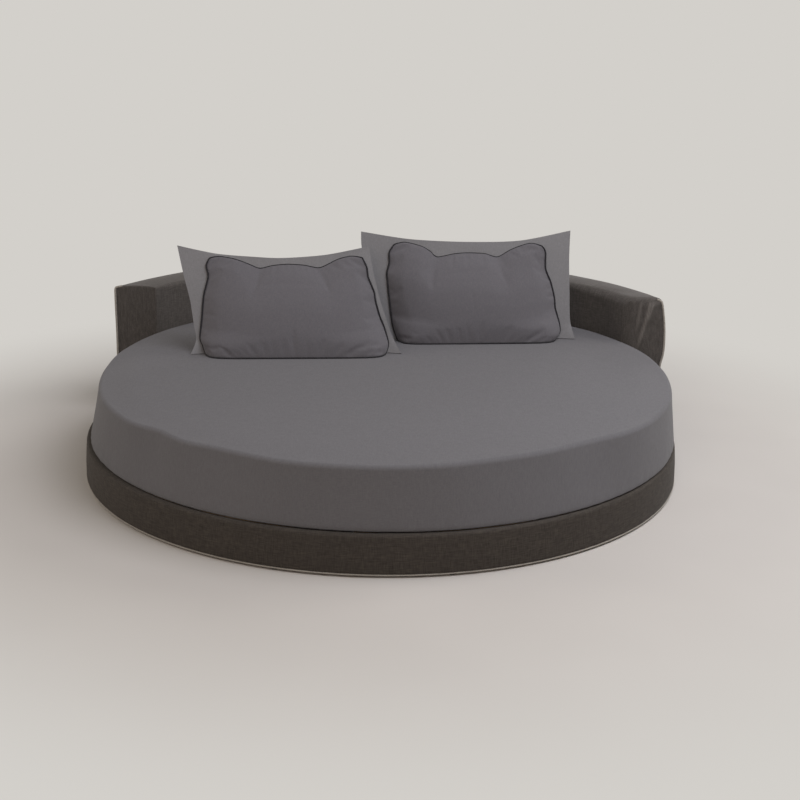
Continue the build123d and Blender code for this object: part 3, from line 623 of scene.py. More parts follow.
# Sheet: fine brushed cotton, pale grey, satin where it is stretched.
SHEET_COTTON = WovenCloth(
    "pale_grey_sheet_cotton", "#6f6e71", "#69686b", "#757477", 1.8, 16, 0.12, 110, 1.4, 0.78, 0.1
)
# Pillow case: the same grey cotton, with finer thread and small soft creases.
PILLOW_COTTON = WovenCloth(
    "grey_pillow_cotton", "#6b696d", "#656368", "#716f73", 1.5, 12, 0.12, 70, 0.8, 0.76, 0.12
)
# Flange: two flat layers of the case's grey cotton, pressed and stitched, its colour painted paler
# than the stuffed body's as painted light, for the light that falls on the flat flange.
FLANGE_COTTON_PAINTED_LIGHTER = WovenCloth(
    "pale_flange_cotton", "#888789", "#818082", "#8f8e90", 1.5, 12, 0.12, 90, 0.5, 0.76, 0.14
)
# Piping: a thin cord in charcoal cotton, dull and tightly twisted.
CHARCOAL_PIPING = WovenCloth(
    "charcoal_piping_cotton", "#2f2e31", "#232225", "#3c3b3e", 1.2, 4, 0.2, 20, 0.1, 0.7, 0.1
)
# Elastic: knitted rubber band in the sheet's hem, off-white and ribbed.
HEM_ELASTIC = WovenCloth(
    "knitted_hem_elastic", "#8d8b86", "#7c7a75", "#9c9a94", 1.0, 6, 0.3, 10, 0.3, 0.7, 0.0
)
# Ticking: tightly woven cotton twill, matt, with soft grey bands.
BORDER_TICKING = StripedTicking("striped_mattress_ticking")
# Pocket fleece: spun-bonded cloth, which dips between the tops of the springs.
POCKET_FLEECE = StripedTicking("pocket_spring_fleece", "#9a9893", "#83817c", 55.0, 2.0, True)
# Birch plywood: pale and smooth on its face, striped with darker plies at its edges.
BENT_PLY = Plywood("bent_birch_plywood")
FLAT_PLY = Plywood("flat_birch_plywood", lay=Lay.FLAT)
# Planed pine: honey-coloured and satin, with darker rings along each length.
SLAT_PINE = SawnPine("pine_slats", Grain.ALONG_X, pitch=0.148)
BEAM_PINE = SawnPine("pine_beam", Grain.ALONG_Y, ring_mm=4.0)
STUD_PINE = SawnPine("pine_studs", Grain.ALONG_Z, ring_mm=4.0)
# Zinc-plated steel: bluish grey, half bright, duller where it has been rubbed.
STEEL = ZincSteel()
# Moulded nylon: near-black, half matt, with the faint pitting of a textured mould.
NYLON = GrainyStuff("moulded_black_nylon", "#222326", "#1b1c1e", "#2c2d30", 1.0, 1.0, 0.06, 0.48)
# Recycled felt: grey fibres with darker flecks.
FELT = GrainyStuff("grey_wool_felt", "#77757a", "#5b595e", "#8f8d92", 2.4, 2.0, 0.5, 0.95, 0.2)


def deselect_all() -> None:
    """Leaves edit mode and takes everything out of the selection."""
    if bpy.context.object is not None and bpy.context.object.mode != "OBJECT":
        bpy.ops.object.mode_set(mode="OBJECT")
    bpy.ops.object.select_all(action="DESELECT")


class Workpiece:
    """One mesh on the bench, from its primitive to the finished piece."""

    def __init__(self, name: str) -> None:
        """Takes up the object that was just added, and names it."""
        self.obj = bpy.context.active_object
        self.obj.name = self.obj.data.name = name

    @classmethod
    def block(cls, name: str, cuts: tuple[int, int, int]) -> "Workpiece":
        """Starts from a cube that is cut into an even grid on every face.

        Args:
            name: The piece's name.
            cuts: How many cuts cross each axis.

        Returns:
            The piece, from -1 to 1 each way.
        """
        deselect_all()
        bpy.ops.mesh.primitive_cube_add(size=2)
        piece = cls(name)
        for axis, count in enumerate(cuts):
            piece.pick(Kind.EDGE, lambda e, a=axis: abs(e.verts[0].co[a] - e.verts[1].co[a]) > 0.5)
            bpy.ops.mesh.subdivide(number_cuts=count)
        deselect_all()
        return piece

    @classmethod
    def grid(cls, name: str, steps: tuple[int, int]) -> "Workpiece":
        """Starts from a flat grid from -1 to 1 each way, with that many steps along X and Y.

        Args:
            name: The piece's name.
            steps: Steps along X and Y.

        Returns:
            The piece.
        """
        deselect_all()
        bpy.ops.mesh.primitive_grid_add(x_subdivisions=steps[0], y_subdivisions=steps[1], size=2)
        return cls(name)

    @classmethod
    def turned(
        cls, name: str, outline: Sequence[Point], steps: int, centre: Point, closed: bool
    ) -> "Workpiece":
        """Spins an outline of radius and height round an upright axis.

        Args:
            name: The piece's name.
            outline: Points of radius and height, in order.
            steps: Steps in the full turn.
            centre: The axis's place in X and Y.
            closed: Whether the outline's last point joins its first.

        Returns:
            The turned piece, with its doubles merged and its faces pointing outwards.
        """
        deselect_all()
        bpy.ops.mesh.primitive_circle_add(vertices=len(outline), radius=1, fill_type="NOTHING")
        piece = cls(name)
        for vertex, (radius, height) in zip(piece.obj.data.vertices, outline):
            vertex.co = (centre[0] + radius, centre[1], height)
        if not closed:
            last = len(outline) - 1
            piece.pick(Kind.EDGE, lambda e: {v.index for v in e.verts} == {0, last})
            bpy.ops.mesh.delete(type="EDGE")
        piece.pick(Kind.VERT, lambda v: True)
        bpy.ops.mesh.spin(steps=steps, angle=2 * math.pi, center=(*centre, 0), axis=(0, 0, 1))
        piece.pick(Kind.VERT, lambda v: True)
        bpy.ops.mesh.remove_doubles(threshold=1e-5)
        bpy.ops.mesh.normals_make_consistent(inside=False)
        deselect_all()
        return piece

    @classmethod
    def cord(
        cls,
        name: str,
        route: Sequence[Vector],
        radius: float,
        ring: bool = False,
        shares: Sequence[float] = (),
    ) -> "Workpiece":
        """Runs a round cord along a route, as a smooth curve that is then made a mesh.

        Args:
            name: The piece's name.
            route: The curve's control points.
            radius: The cord's radius.
            ring: Whether the route closes on itself.
            shares: The share of the radius at each point, where it isn't full.

        Returns:
            The cord's piece.
        """
        deselect_all()
        bpy.ops.curve.primitive_nurbs_path_add()
        curve = bpy.context.active_object.data
        curve.splines.clear()
        spline = curve.splines.new("NURBS")
        spline.points.add(len(route) - 1)
        for point, place in zip(spline.points, route):
            point.co = (*place, 1.0)
        for point, share in zip(spline.points, shares):
            point.radius = share
        spline.order_u = 3
        spline.use_endpoint_u = not ring
        spline.use_cyclic_u = ring
        spline.resolution_u = 6
        curve.dimensions = "3D"
        curve.bevel_depth = radius
        curve.bevel_resolution = 3
        curve.use_fill_caps = not ring
        bpy.context.active_object.select_set(True)
        bpy.ops.object.convert(target="MESH")
        return cls(name)

    def take_up(self) -> None:
        """Selects this piece alone, and makes it the active one."""
        deselect_all()
        bpy.context.view_layer.objects.active = self.obj
        self.obj.select_set(True)

    def pick(self, kind: Kind, test: Callable[[Any], bool]) -> None:
        """Goes into edit mode and selects the elements that pass a test.

        Args:
            kind: Vertices, edges or faces.
            test: Says of a bmesh element whether it is wanted.
        """
        self.take_up()
        bpy.ops.object.mode_set(mode="EDIT")
        bpy.ops.mesh.select_mode(type=kind.name)
        bpy.ops.mesh.select_all(action="DESELECT")
        shape = bmesh.from_edit_mesh(self.obj.data)
        shape.verts.index_update()
        for element in getattr(shape, kind.value):
            if test(element):
                element.select_set(True)
        shape.select_flush_mode()
        bmesh.update_edit_mesh(self.obj.data)

    def drop(self, test: Callable[[Any], bool]) -> None:
        """Deletes the faces that pass a test.

        Args:
            test: Says of a face whether it goes.
        """
        self.pick(Kind.FACE, test)
        bpy.ops.mesh.delete(type="FACE")
        deselect_all()

    def shape(self, rule: Callable[[Vector], Vector]) -> None:
        """Moves every vertex by a rule.

        Args:
            rule: Gives a vertex's new place from its old one.
        """
        deselect_all()
        for vertex in self.obj.data.vertices:
            vertex.co = rule(vertex.co.copy())
        self.obj.data.update()

    def modify(self, kind: str, **settings: Any) -> None:
        """Adds a modifier with its settings, and applies it.

        Args:
            kind: Blender's name for the modifier.
            settings: Its properties.
        """
        self.take_up()
        bpy.ops.object.modifier_add(type=kind)
        modifier = self.obj.modifiers[-1]
        for key, value in settings.items():
            setattr(modifier, key, value)
        bpy.ops.object.modifier_apply(modifier=modifier.name)

    def take_in(self, other: "Workpiece") -> None:
        """Joins another piece into this one.

        Args:
            other: The piece that is taken in.
        """
        self.take_up()
        other.obj.select_set(True)
        bpy.ops.object.join()

    def face_outwards(self) -> None:
        """Points every face outwards."""
        self.pick(Kind.FACE, lambda f: True)
        bpy.ops.mesh.normals_make_consistent(inside=False)
        deselect_all()

    def hand_over(
        self,
        body: str,
        slot: str,
        material: bpy.types.Material,
        stands_for: Sequence[str] = (),
        crease_angle: float = 50.0,
    ) -> bpy.types.Object:
        """Smooths, dresses and mounts the piece.

        Args:
            body: The CAD body that carries it.
            slot: The record's material slot; not used.
            material: Its finish.
            stands_for: The CAD nodes that it replaces.
            crease_angle: Edges sharper than this many degrees stay sharp.

        Returns:
            The finished object.
        """
        self.take_up()
        bpy.ops.object.transform_apply(location=True, rotation=True, scale=True)
        bpy.ops.object.shade_smooth_by_angle(angle=math.radians(crease_angle))
        self.obj.data.materials.clear()
        self.obj.data.materials.append(material)
        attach(self.obj, body)
        if stands_for:
            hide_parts(*stands_for)
        log.info("%s: %d faces on %s", self.obj.name, len(self.obj.data.polygons), body)
        return self.obj


def arc(centre: Point, radius: float, start: float, end: float, steps: int) -> list[Point]:
    """Gives the points of an arc, with angles in degrees and both ends in.

    Args:
        centre: The arc's middle.
        radius: Its radius.
        start: The first angle.
        end: The last angle.
        steps: Steps between them.

    Returns:
        Its points, in order.
    """
    turns = [math.radians(start + (end - start) * i / steps) for i in range(steps + 1)]
    return [(centre[0] + radius * math.cos(t), centre[1] + radius * math.sin(t)) for t in turns]


def line(start: Point, end: Point, steps: int) -> list[Point]:
    """Gives evenly spaced points from just after start up to end.

    Args:
        start: The point before the first.
        end: The last point.
        steps: How many points.

    Returns:
        The points, in order.
    """
    return [
        (start[0] + (end[0] - start[0]) * i / steps, start[1] + (end[1] - start[1]) * i / steps)
        for i in range(1, steps + 1)
    ]


@dataclass
class BaseUpholstery:
    """The base's cloth over its wadding, and the thin pale welt along its lower edge."""

    top_radius: float = 1.0135
    foot_radius: float = 1.0185
    height: float = 0.130
    edge_radius: float = 0.009
    inner_radius: float = 0.9888
    return_depth: float = 0.014
    welt_radius: float = 0.0026
    floor_gap: float = 0.0055
    lip: float = 0.004
    foot_shares: tuple[float, float, float] = (3.0, 2.3, 2.05)
    foot_draws: Point = (0.0006, 0.0024)
    welt_flange: tuple[float, float, float] = (0.0105, 0.0032, 0.0018)
    cloth: float = 0.0014
    broad_waves: float = 0.0009
    puckers: float = 0.0008
    fullness: float = 0.0016
    steps: int = 720
    block_angles: tuple[float, ...] = (51.25, 82.25, 97.75, 128.75)
    block_half_angle: float = 1.95
    block_heights: Point = (0.033, 0.087)

    def outline(self) -> list[Point]:
        """Gives the cloth's section from the turned-down inner edge to the welt.

        Returns:
            Points of radius and height.
        """
        lip = self.lip
        points = [(self.inner_radius, self.height - self.return_depth)]
        points += line(points[-1], (self.inner_radius, self.height - lip), 3)
        points += arc((self.inner_radius + lip, self.height - lip), lip, 180, 90, 4)[1:]
        points += line(points[-1], (self.top_radius - self.edge_radius, self.height), 4)
        middle = (self.top_radius - self.edge_radius, self.height - self.edge_radius)
        points += arc(middle, self.edge_radius, 90, 0, 6)[1:]
        ups = [self.floor_gap + share * self.welt_radius for share in self.foot_shares]
        points += line(points[-1], (self.foot_radius, ups[0]), 14)
        points += [(self.foot_radius - drawn, up) for drawn, up in zip(self.foot_draws, ups[1:])]
        return points

    def settle(self, point: Vector) -> Vector:
        """Gives the stretched cloth its slight unevenness, with puckers over the welt.

        Args:
            point: A point of the evenly turned cover.

        Returns:
            Where it ends up.
        """
        reach = math.hypot(point.x, point.y)
        if reach < self.top_radius - 2 * self.edge_radius:
            return point
        turn = math.atan2(point.y, point.x)
        share = (point.z - self.floor_gap) / (self.height - self.floor_gap)
        broad = self.broad_waves * waver(5 * math.cos(turn), 5 * math.sin(turn), 9 * point.z)
        fine = self.puckers * waver(34 * math.cos(turn), 34 * math.sin(turn), 4 * point.z)
        fade = (1 - smooth_step(0.0, 0.55, share)) + 0.5 * smooth_step(0.8, 1.0, share)
        swell = self.fullness * math.sin(math.pi * min(1.0, max(0.0, share)))
        grown = 1 + (broad + fine * fade + swell) / reach
        return Vector((point.x * grown, point.y * grown, point.z))

    def make(self) -> None:
        """Builds the cover and the welt."""
        cover = Workpiece.turned("base_upholstery", self.outline(), self.steps, (0.0, 0.0), False)
        cover.drop(self.over_block)
        cover.shape(self.settle)
        cover.modify("SOLIDIFY", thickness=self.cloth, offset=-1.0)
        made = cover.hand_over(
            "bed_frame",
            "upholstery",
            # The base takes the darker-painted copy of the upholstery cloth, standing in for the
            # shade low on the bed.
            BASE_CLOTH_PAINTED_DARKER.build(),
            ("rail_cover_front", "rail_cover_back", "rail_wadding_front", "rail_wadding_back"),
        )
        bead = (self.foot_radius - 0.5 * self.welt_radius, self.floor_gap + self.welt_radius)
        section = arc(bead, self.welt_radius, -150, 150, 12)
        reach, high, low = self.welt_flange
        section += [(self.foot_radius - reach, self.floor_gap + up) for up in (high, low)]
        welt = Workpiece.turned("base_welt_cord", section, self.steps, (0.0, 0.0), True)
        welt.hand_over("bed_frame", "welt", WELT_CLOTH.build(), ("base_welt",))

    def over_block(self, face: bmesh.types.BMFace) -> bool:
        """Says whether a face lies where a packing block passes through the cover.

        Args:
            face: A face of the cover.

        Returns:
            True where the face has to go.
        """
        middle = face.calc_center_median()
        turn = math.degrees(math.atan2(middle.y, middle.x))
        outside = math.hypot(middle.x, middle.y) > self.top_radius - 0.004
        low, high = self.block_heights
        beside = any(abs(turn - angle) < self.block_half_angle for angle in self.block_angles)
        return outside and low < middle.z < high and beside


@dataclass
class HeadboardUpholstery:
    """The curved headboard's padded cover, crisp at its left end and loosely gathered at its right.

    It is moulded from a straight gridded block: run goes along the board from its left end,
    across from its inner face to its outer, and up from the block's middle.
    """

    inner_radius: float = 1.024
    thickness: float = 0.136
    bottom: float = 0.008
    height: float = 0.490
    crown: float = 0.006
    end_y: float = 0.512
    top_edge: float = 0.014
    crisp_edge: float = 0.004
    crisp_top_edge: float = 0.006
    crisp_reach: float = 0.12
    loose_top_edge: float = 0.036
    loose_end_edge: float = 0.032
    loose_corner: float = 0.012
    outer_shares: Point = (0.25, 0.3)
    cuts: tuple[int, int, int] = (220, 40, 48)
    spread: float = 1.5
    cloth: float = 0.0014
    drift: float = 0.0016
    tug: float = 0.0012
    slack: float = 0.0035
    end_wave: float = 0.0018
    inner_wave: float = 0.003
    fullness: Point = (0.0015, 0.005)
    welt_radius: float = 0.0039
    welt_steps: int = 24
    welt_foot: float = 0.004
    welt_top: float = 0.0005
    welt_lean: Point = (0.85, -0.53)
    welt_stand: float = 0.9
    welt_tuck: tuple[tuple[float, float, float], ...] = (
        (0.001, 0.004, 0.0), (0.002, 0.013, 0.0), (0.004, 0.024, 0.001),
    )
    pleat_width: float = 0.009
    pleat_drop: float = 0.018
    # How far in from the right end the painted highlight of the pleats reaches.
    highlight_reach: float = 0.012
    over_board: float = 0.0065
    pull_in: Knots = (
        (0.0, 0.010), (0.20, 0.011), (0.236, 0.0095), (0.272, 0.002), (0.322, 0.0), (0.389, 0.003),
        (0.454, 0.012), (0.490, 0.018),
    )
    pleats: tuple[tuple[float, float, float, float], ...] = (
        (0.0122, 0.216, 0.0120, 0.20), (0.0270, 0.40, 0.0085, 0.085), (-0.020, 0.11, 0.0060, 0.12),
    )

    def __post_init__(self) -> None:
        """Works out the middle radius and the half sizes of the straightened block."""
        self.middle = self.inner_radius + self.thickness / 2
        sweep = math.pi - 2 * math.asin(self.end_y / self.middle)
        self.half = (sweep * self.middle / 2, self.thickness / 2, (self.height - self.bottom) / 2)
        self.deepest = max(pleat[2] for pleat in self.pleats)

    def spaced(self, share: float) -> float:
        """Draws an even grid line towards the edges, where the cover turns."""
        return math.copysign(1 - (1 - abs(share)) ** self.spread, share)

    @staticmethod
    def rounded(first: float, second: float, radius: float) -> Point:
        """Rounds one corner of a square, for distances measured in from its two sides.

        Args:
            first: Distance in from one side.
            second: Distance in from the other.
            radius: The corner's radius.

        Returns:
            The two distances after rounding.
        """
        if first >= radius or second >= radius:
            return (first, second)
        away = (radius - first, radius - second)
        length = math.hypot(*away)
        if length == 0:
            return (first, second)
        shrink = max(away) / length
        return (radius - away[0] * shrink, radius - away[1] * shrink)

    def looseness(self, run: float, reach: float = 0.45) -> float:
        """Gives how loose the cover is, from 0 on most of the board to 1 at its right end."""
        return smooth_step(self.half[0] - reach, self.half[0] - 0.03, run)

    def mould(self, point: Vector) -> Vector:
        """Turns a point of the gridded block into one of the curved, rounded cover.

        Args:
            point: A point of the block, from -1 to 1 each way.

        Returns:
            Its place on the bed.
        """
        run, across, up = (self.spaced(point[i]) * self.half[i] for i in range(3))
        loose, inside = self.looseness(run), across < 0
        crisp = 1 - smooth_step(0.0, self.crisp_reach, run + self.half[0])
        across_in = self.half[1] - abs(across)
        up_in = self.half[2] - up
        top_share, end_share = (1, 1) if inside else self.outer_shares
        top_radius = self.top_edge - (self.top_edge - self.crisp_top_edge) * crisp
        top_radius += (self.loose_top_edge - self.top_edge) * loose * top_share
        across_in, up_in = self.rounded(across_in, up_in, top_radius)
        run_in = self.half[0] - abs(run)
        corner = self.crisp_edge
        corner += (self.loose_end_edge - self.crisp_edge) * loose * end_share
        run_in, across_in = self.rounded(run_in, across_in, corner)
        run_in, up_in = self.rounded(run_in, up_in, self.crisp_edge + self.loose_corner * loose)
        across = math.copysign(self.half[1] - across_in, across)
        up = self.half[2] - up_in
        run = math.copysign(self.half[0] - run_in, run)
        level = smooth_step(self.half[2] - 0.05, self.half[2], up)
        up -= (across / self.half[1]) ** 2 * self.crown * level
        out, lift, ahead = self.unevenness(run, across, up)
        radius = self.middle + across + out
        start = math.asin(self.end_y / radius)
        turn = math.pi - start - (math.pi - 2 * start) * (run / self.half[0] + 1) / 2
        height = self.bottom + self.half[2] + up + lift
        return Vector((radius * math.cos(turn), radius * math.sin(turn) + ahead, height))

    def unevenness(self, run: float, across: float, up: float) -> tuple[float, float, float]:
        """Gives the cover's drift, tugs and pleats at a point of the straightened block.

        Args:
            run: Place along the board.
            across: Place through its thickness.
            up: Height from the block's middle.

        Returns:
            How far the point moves outwards, up and along the bed.
        """
        inner = smooth_step(0.85, 1.0, -across / self.half[1])
        outer = smooth_step(0.85, 1.0, across / self.half[1])
        top = smooth_step(0.9, 1.0, up / self.half[2])
        end = smooth_step(self.half[0] - 0.012, self.half[0] - 0.001, abs(run))
        height = up + self.half[2] + self.bottom
        drift = self.drift * waver(6 * run, 3 * across, 5 * up)
        tug = self.tug * waver(26 * run, 9 * across, 3.5 * up) * smooth_step(0.2, 0.46, height)
        out = (drift + tug) * (outer - inner)
        loose = self.looseness(run)
        slack = self.slack * loose * waver(9 * run, 16 * across, 6)
        lift = top * (self.drift * waver(7 * run, 12 * across, 1.7) + slack)
        ahead = end * self.end_wave * waver(20 * across, 9 * height, 3.3) * math.copysign(1, -run)
        belly = math.cos(0.5 * math.pi * across / self.half[1])
        if run > 0:
            near = self.looseness(run, 0.10)
            side = smooth_step(-0.3, 1.0, across / self.half[1])
            pull = along(self.pull_in, height)
            past = smooth_step(self.half[0] - 0.015, self.half[0] - 0.003, run)
            over, beyond = min(pull, self.over_board), max(0.0, pull - self.over_board)
            out -= (over * near + beyond * past) * side
            proud = self.pleated(across, height)[0]
            ahead -= end * (self.fullness[1] * belly + proud)
            out -= inner * near * self.inner_wave * waver(34 * run, 7 * height, 2.0)
        else:
            ahead -= end * self.fullness[0] * belly
        return out, lift, ahead

    def pleated(self, across: float, height: float) -> tuple[float, float]:
        """Shapes the loose end's pleats: steep on the inside, falling away outwards.

        Args:
            across: Place through the board's thickness.
            height: Height above the floor.

        Returns:
            How far the cloth stands out there, and how strong the painted highlight along the
            pleats' ridges is, from 0 to 1.
        """
        drop = self.height - self.pleat_drop - height
        proud, rubbed = 0.0, 0.0
        for start, lean, depth, length in self.pleats:
            off = (across - start + lean * drop) / self.pleat_width
            shown = smooth_step(-0.012, 0.012, drop) * (1 - smooth_step(0.6 * length, length, drop))
            proud += depth * shown * smooth_step(-0.6, 0.15, off) * math.exp(-max(0.0, off) / 2.6)
            rubbed = max(rubbed, depth / self.deepest * shown * hump(off, 0.0, 0.42))
        return proud, rubbed

    def rub_and_highlight(self, point: Vector) -> float:
        """Gives how strong the painted highlight is at a point: along the pleats alone.

        Args:
            point: A point of the gridded block.

        Returns:
            From 0 to 1.
        """
        run, across, up = (self.spaced(point[i]) * self.half[i] for i in range(3))
        if run < self.half[0] - self.highlight_reach:
            return 0.0
        return self.pleated(across, up + self.half[2] + self.bottom)[1]

    def make(self) -> None:
        """Builds the cover, open underneath, and the welts on its end edges."""
        cover = Workpiece.block("headboard_upholstery", self.cuts)
        cover.drop(lambda f: f.normal.z < -0.9)
        # Each point's share of painted highlight along the pleats' ridges, kept on the mesh for the
        # cloth's colour.
        rubbed = [self.rub_and_highlight(vertex.co) for vertex in cover.obj.data.vertices]
        cover.obj.data.attributes.new("rubbed", "FLOAT", "POINT").data.foreach_set("value", rubbed)
        cover.shape(self.mould)
        cover.face_outwards()
        cover.modify("SOLIDIFY", thickness=self.cloth, offset=-1.0)
        made = cover.hand_over(
            "bed_frame",
            "upholstery",
            TAUPE_CLOTH.build(),
            (
                "headboard_cover",
                "headboard_front_foam",
                "headboard_top_foam",
                "headboard_end_foams",
                "headboard_back_wadding",
            ),
            65.0,
        )
        left = self.welt(-1, "headboard_end_welt_cords")
        left.take_in(self.welt(1, "headboard_right_welt"))
        left.hand_over("bed_frame", "welt", WELT_CLOTH.build(), ("headboard_end_welts",))

    def welt(self, side: int, name: str) -> Workpiece:
        """Runs a welt up the outer edge of one end, and tucks it in over the top corner.

        Args:
            side: -1 for the left end, 1 for the right.
            name: The piece's name.

        Returns:
            The welt's piece, on the cover's corner all the way.
        """
        steps, foot, top = self.welt_steps, self.welt_foot, self.half[2] - self.welt_top
        rise = 2 * self.half[2] - 3 * foot
        stops = [(0.0, 0.0, foot - self.half[2] + rise * i / steps) for i in range(steps + 1)]
        stops += [(run_in, across_in, top + lift) for run_in, across_in, lift in self.welt_tuck]
        lean = Vector((side * self.welt_lean[0], self.welt_lean[1], 0.0))
        lean *= self.welt_stand * self.welt_radius
        route = []
        for run_in, across_in, up in stops:
            run, across = side * (self.half[0] - run_in), self.half[1] - across_in
            route.append(self.mould(self.unspaced(run, across, up)) + lean)
        return Workpiece.cord(name, route, self.welt_radius)

    def unspaced(self, run: float, across: float, up: float) -> Vector:
        """Finds the point of the gridded block that is spaced out to a given place.

        Args:
            run: Place along the straightened board.
            across: Place through its thickness.
            up: Height from its middle.

        Returns:
            The point of the gridded block.
        """
        shares = [min(1.0, abs(v) / h) for v, h in zip((run, across, up), self.half)]
        back = [1 - (1 - share) ** (1 / self.spread) for share in shares]
        return Vector([math.copysign(b, v) for b, v in zip(back, (run, across, up))])


@dataclass
class SoftMattress:
    """The boxed mattress: the fitted sheet that shows, and the quilted ticking under it."""

    radius: float = 1.0
    centre: Point = (0.008, 0.012)
    bottom: float = 0.1303
    top: float = 0.3303
    shoulder: float = 0.014
    under_edge: float = 0.007
    hem: float = 0.075
    sheet_steps: int = 640
    ticking_steps: int = 320
    cloth: float = 0.0010
    ticking_inset: float = 0.0032
    puckers: int = 104
    pucker_depth: float = 0.0011
    gather_depth: float = 0.0012
    gather_band: tuple[float, float, float, float] = (0.90, 0.935, 0.96, 0.985)
    side_depths: Point = (0.05, 0.006)
    side_wave: float = 0.0014
    foot_flare: float = 0.0042
    top_drift: float = 0.0008
    rim_waves: Point = (0.0016, 0.0010)
    rim_drop: float = 0.0010
    tuft_pitch: float = 0.11
    tuft_depths: Point = (0.0028, 0.0022)
    puff_reach: float = 0.02
    tape_half: float = 0.006
    tape_heights: Point = (0.020, 0.020)
    felt_depths: Point = (0.0536, 0.0576)
    elastic_width: float = 0.005
    elastic_ribs: int = 180
    foot_bulge: float = 0.0095
    foot_bulge_at: float = 225.0
    foot_bulge_width: float = 62.0
    least_draw: float = 0.006
    slumps: tuple[tuple[float, float, float], ...] = (
        (190.0, 26.0, 0.015), (218.0, 6.0, 0.003), (235.0, 4.0, 0.003), (258.0, 9.0, 0.002),
        (334.0, 9.0, 0.006), (352.0, 20.0, 0.012), (90.0, 60.0, 0.006),
    )
    draws: tuple[tuple[float, float, float], ...] = (
        (192.0, 20.0, 0.007), (227.5, 5.0, 0.022), (243.0, 9.0, 0.018), (296.0, 12.0, 0.024),
        (312.0, 9.0, 0.026),
    )

    def outline(self, inset: float, hem: float) -> list[Point]:
        """Gives the section from the middle of the top round to the hem underneath.

        Args:
            inset: How far the section is drawn in.
            hem: How far it runs in under the mattress.

        Returns:
            Points of radius and height.
        """
        reach, low, high = self.radius - inset, self.bottom + inset, self.top - inset
        shoulder, under = self.shoulder - inset, self.under_edge - inset
        points = [(0.0, high)]
        points += line(points[-1], (reach - shoulder - 0.12, high), 22)
        points += line(points[-1], (reach - shoulder, high), 8)
        points += arc((reach - shoulder, high - shoulder), shoulder, 90, 0, 12)[1:]
        points += line(points[-1], (reach, low + under), 16)
        points += arc((reach - under, low + under), under, 0, -90, 5)[1:]
        points += line(points[-1], (reach - hem, low), 6)
        return points

    @staticmethod
    def total(dents: Sequence[tuple[float, float, float]], turn: float) -> float:
        """Adds up soft dents, each at an angle, with a width in degrees and a depth."""
        return sum(depth * hump(turn_from(turn, at), 0, width) for at, width, depth in dents)

    def settle(self, point: Vector) -> Vector:
        """Gives the stretched sheet its soft shoulder, tension folds and gathered hem.

        Args:
            point: A point of the evenly turned sheet.

        Returns:
            Where it ends up.
        """
        x, y = point.x - self.centre[0], point.y - self.centre[1]
        reach, turn = math.hypot(x, y), math.atan2(y, x)
        if reach < 0.02:
            return point
        share = min(1.0, max(0.0, (point.z - self.bottom) / (self.top - self.bottom)))
        side = smooth_step(*(self.radius - depth for depth in self.side_depths), reach)
        rim = smooth_step(0.86, 0.995, reach / self.radius) * smooth_step(0.30, 0.95, share)
        cos, sin = math.cos(turn), math.sin(turn)
        broad = waver(2.2 * cos + 7, 2.2 * sin, 0.6 + 2 * share)
        middle = waver(6.5 * cos, 6.5 * sin + 3, 1.5 * share)
        slump = self.total(self.slumps, turn)
        lift = self.top_drift * waver(3 * x, 3 * y, 4.2) * smooth_step(0.9, 1.0, share)
        waves = self.rim_waves[0] * broad + self.rim_waves[1] * middle
        lift += rim * (waves - self.rim_drop - slump)
        gather = 0.5 + 0.5 * math.sin(self.puckers * turn + 5 * waver(4 * cos, 4 * sin, 8.0))
        low = 1 - smooth_step(0.03, 0.42, share)
        flare = self.foot_flare * (1 - share) ** 2 * smooth_step(0.0, 0.03, share)
        out = side * (flare + self.side_wave * middle)
        bulge = hump(turn_from(turn, self.foot_bulge_at), 0, self.foot_bulge_width)
        out += side * self.foot_bulge * (1 - share) ** 1.5 * bulge
        draw = self.least_draw + self.total(self.draws, turn)
        out -= smooth_step(0.80, 1.0, reach / self.radius) * share * (draw + 0.7 * slump)
        uneven = 0.6 + waver(9 * cos, 9 * sin, 2.0)
        out += side * low * self.pucker_depth * (gather - 0.5) * uneven
        under = 1.0 if share < 0.02 else 0.0
        inner, full, waning, outer = self.gather_band
        band = smooth_step(inner, full, reach) * smooth_step(outer, waning, reach)
        lift += under * self.gather_depth * gather * band
        return Vector((point.x + out * cos, point.y + out * sin, point.z + lift))

    def quilt(self, point: Vector) -> Vector:
        """Follows the sheet's shape just inside it, and draws the ticking in at its tape edges.

        Args:
            point: A point of the evenly turned ticking.

        Returns:
            Where it ends up.
        """
        moved = self.settle(point)
        x, y = point.x - self.centre[0], point.y - self.centre[1]
        reach = math.hypot(x, y)
        if reach < 1e-6 or reach > self.radius - self.side_depths[0]:
            return moved
        below = point.z < self.bottom + 0.02
        puff = 0.5 - 0.5 * math.cos(math.pi * min(1.0, (self.radius - reach) / self.puff_reach))
        pitch, (under, over) = self.tuft_pitch, self.tuft_depths
        rows = abs(math.sin(math.pi * x / pitch) * math.sin(math.pi * y / pitch)) ** 0.5
        moved.z += (under * (1 - rows) if below else -over * (1 - rows)) * puff
        return moved

    def make(self) -> None:
        """Builds the sheet with its elastic, and the ticking with its tape edges."""
        inset = self.ticking_inset
        ticking = Workpiece.turned(
            "mattress_ticking",
            self.outline(inset, self.radius - inset),
            self.ticking_steps,
            self.centre,
            False,
        )
        ticking.shape(self.quilt)
        made = ticking.hand_over(
            "mattress",
            "ticking",
            BORDER_TICKING.build(),
            (
                "mattress_bottom_panel",
                "mattress_border",
                "mattress_top_panel",
                "mattress_edge_foam",
                "mattress_comfort_foam",
            ),
        )
        beads = self.tape("mattress_tape_edges", self.bottom + self.tape_heights[0])
        beads.take_in(self.tape("mattress_upper_tape", self.top - self.tape_heights[1]))
        beads.shape(self.settle)
        beads.hand_over("mattress", "ticking", WELT_CLOTH.build(), ("mattress_tapes",))

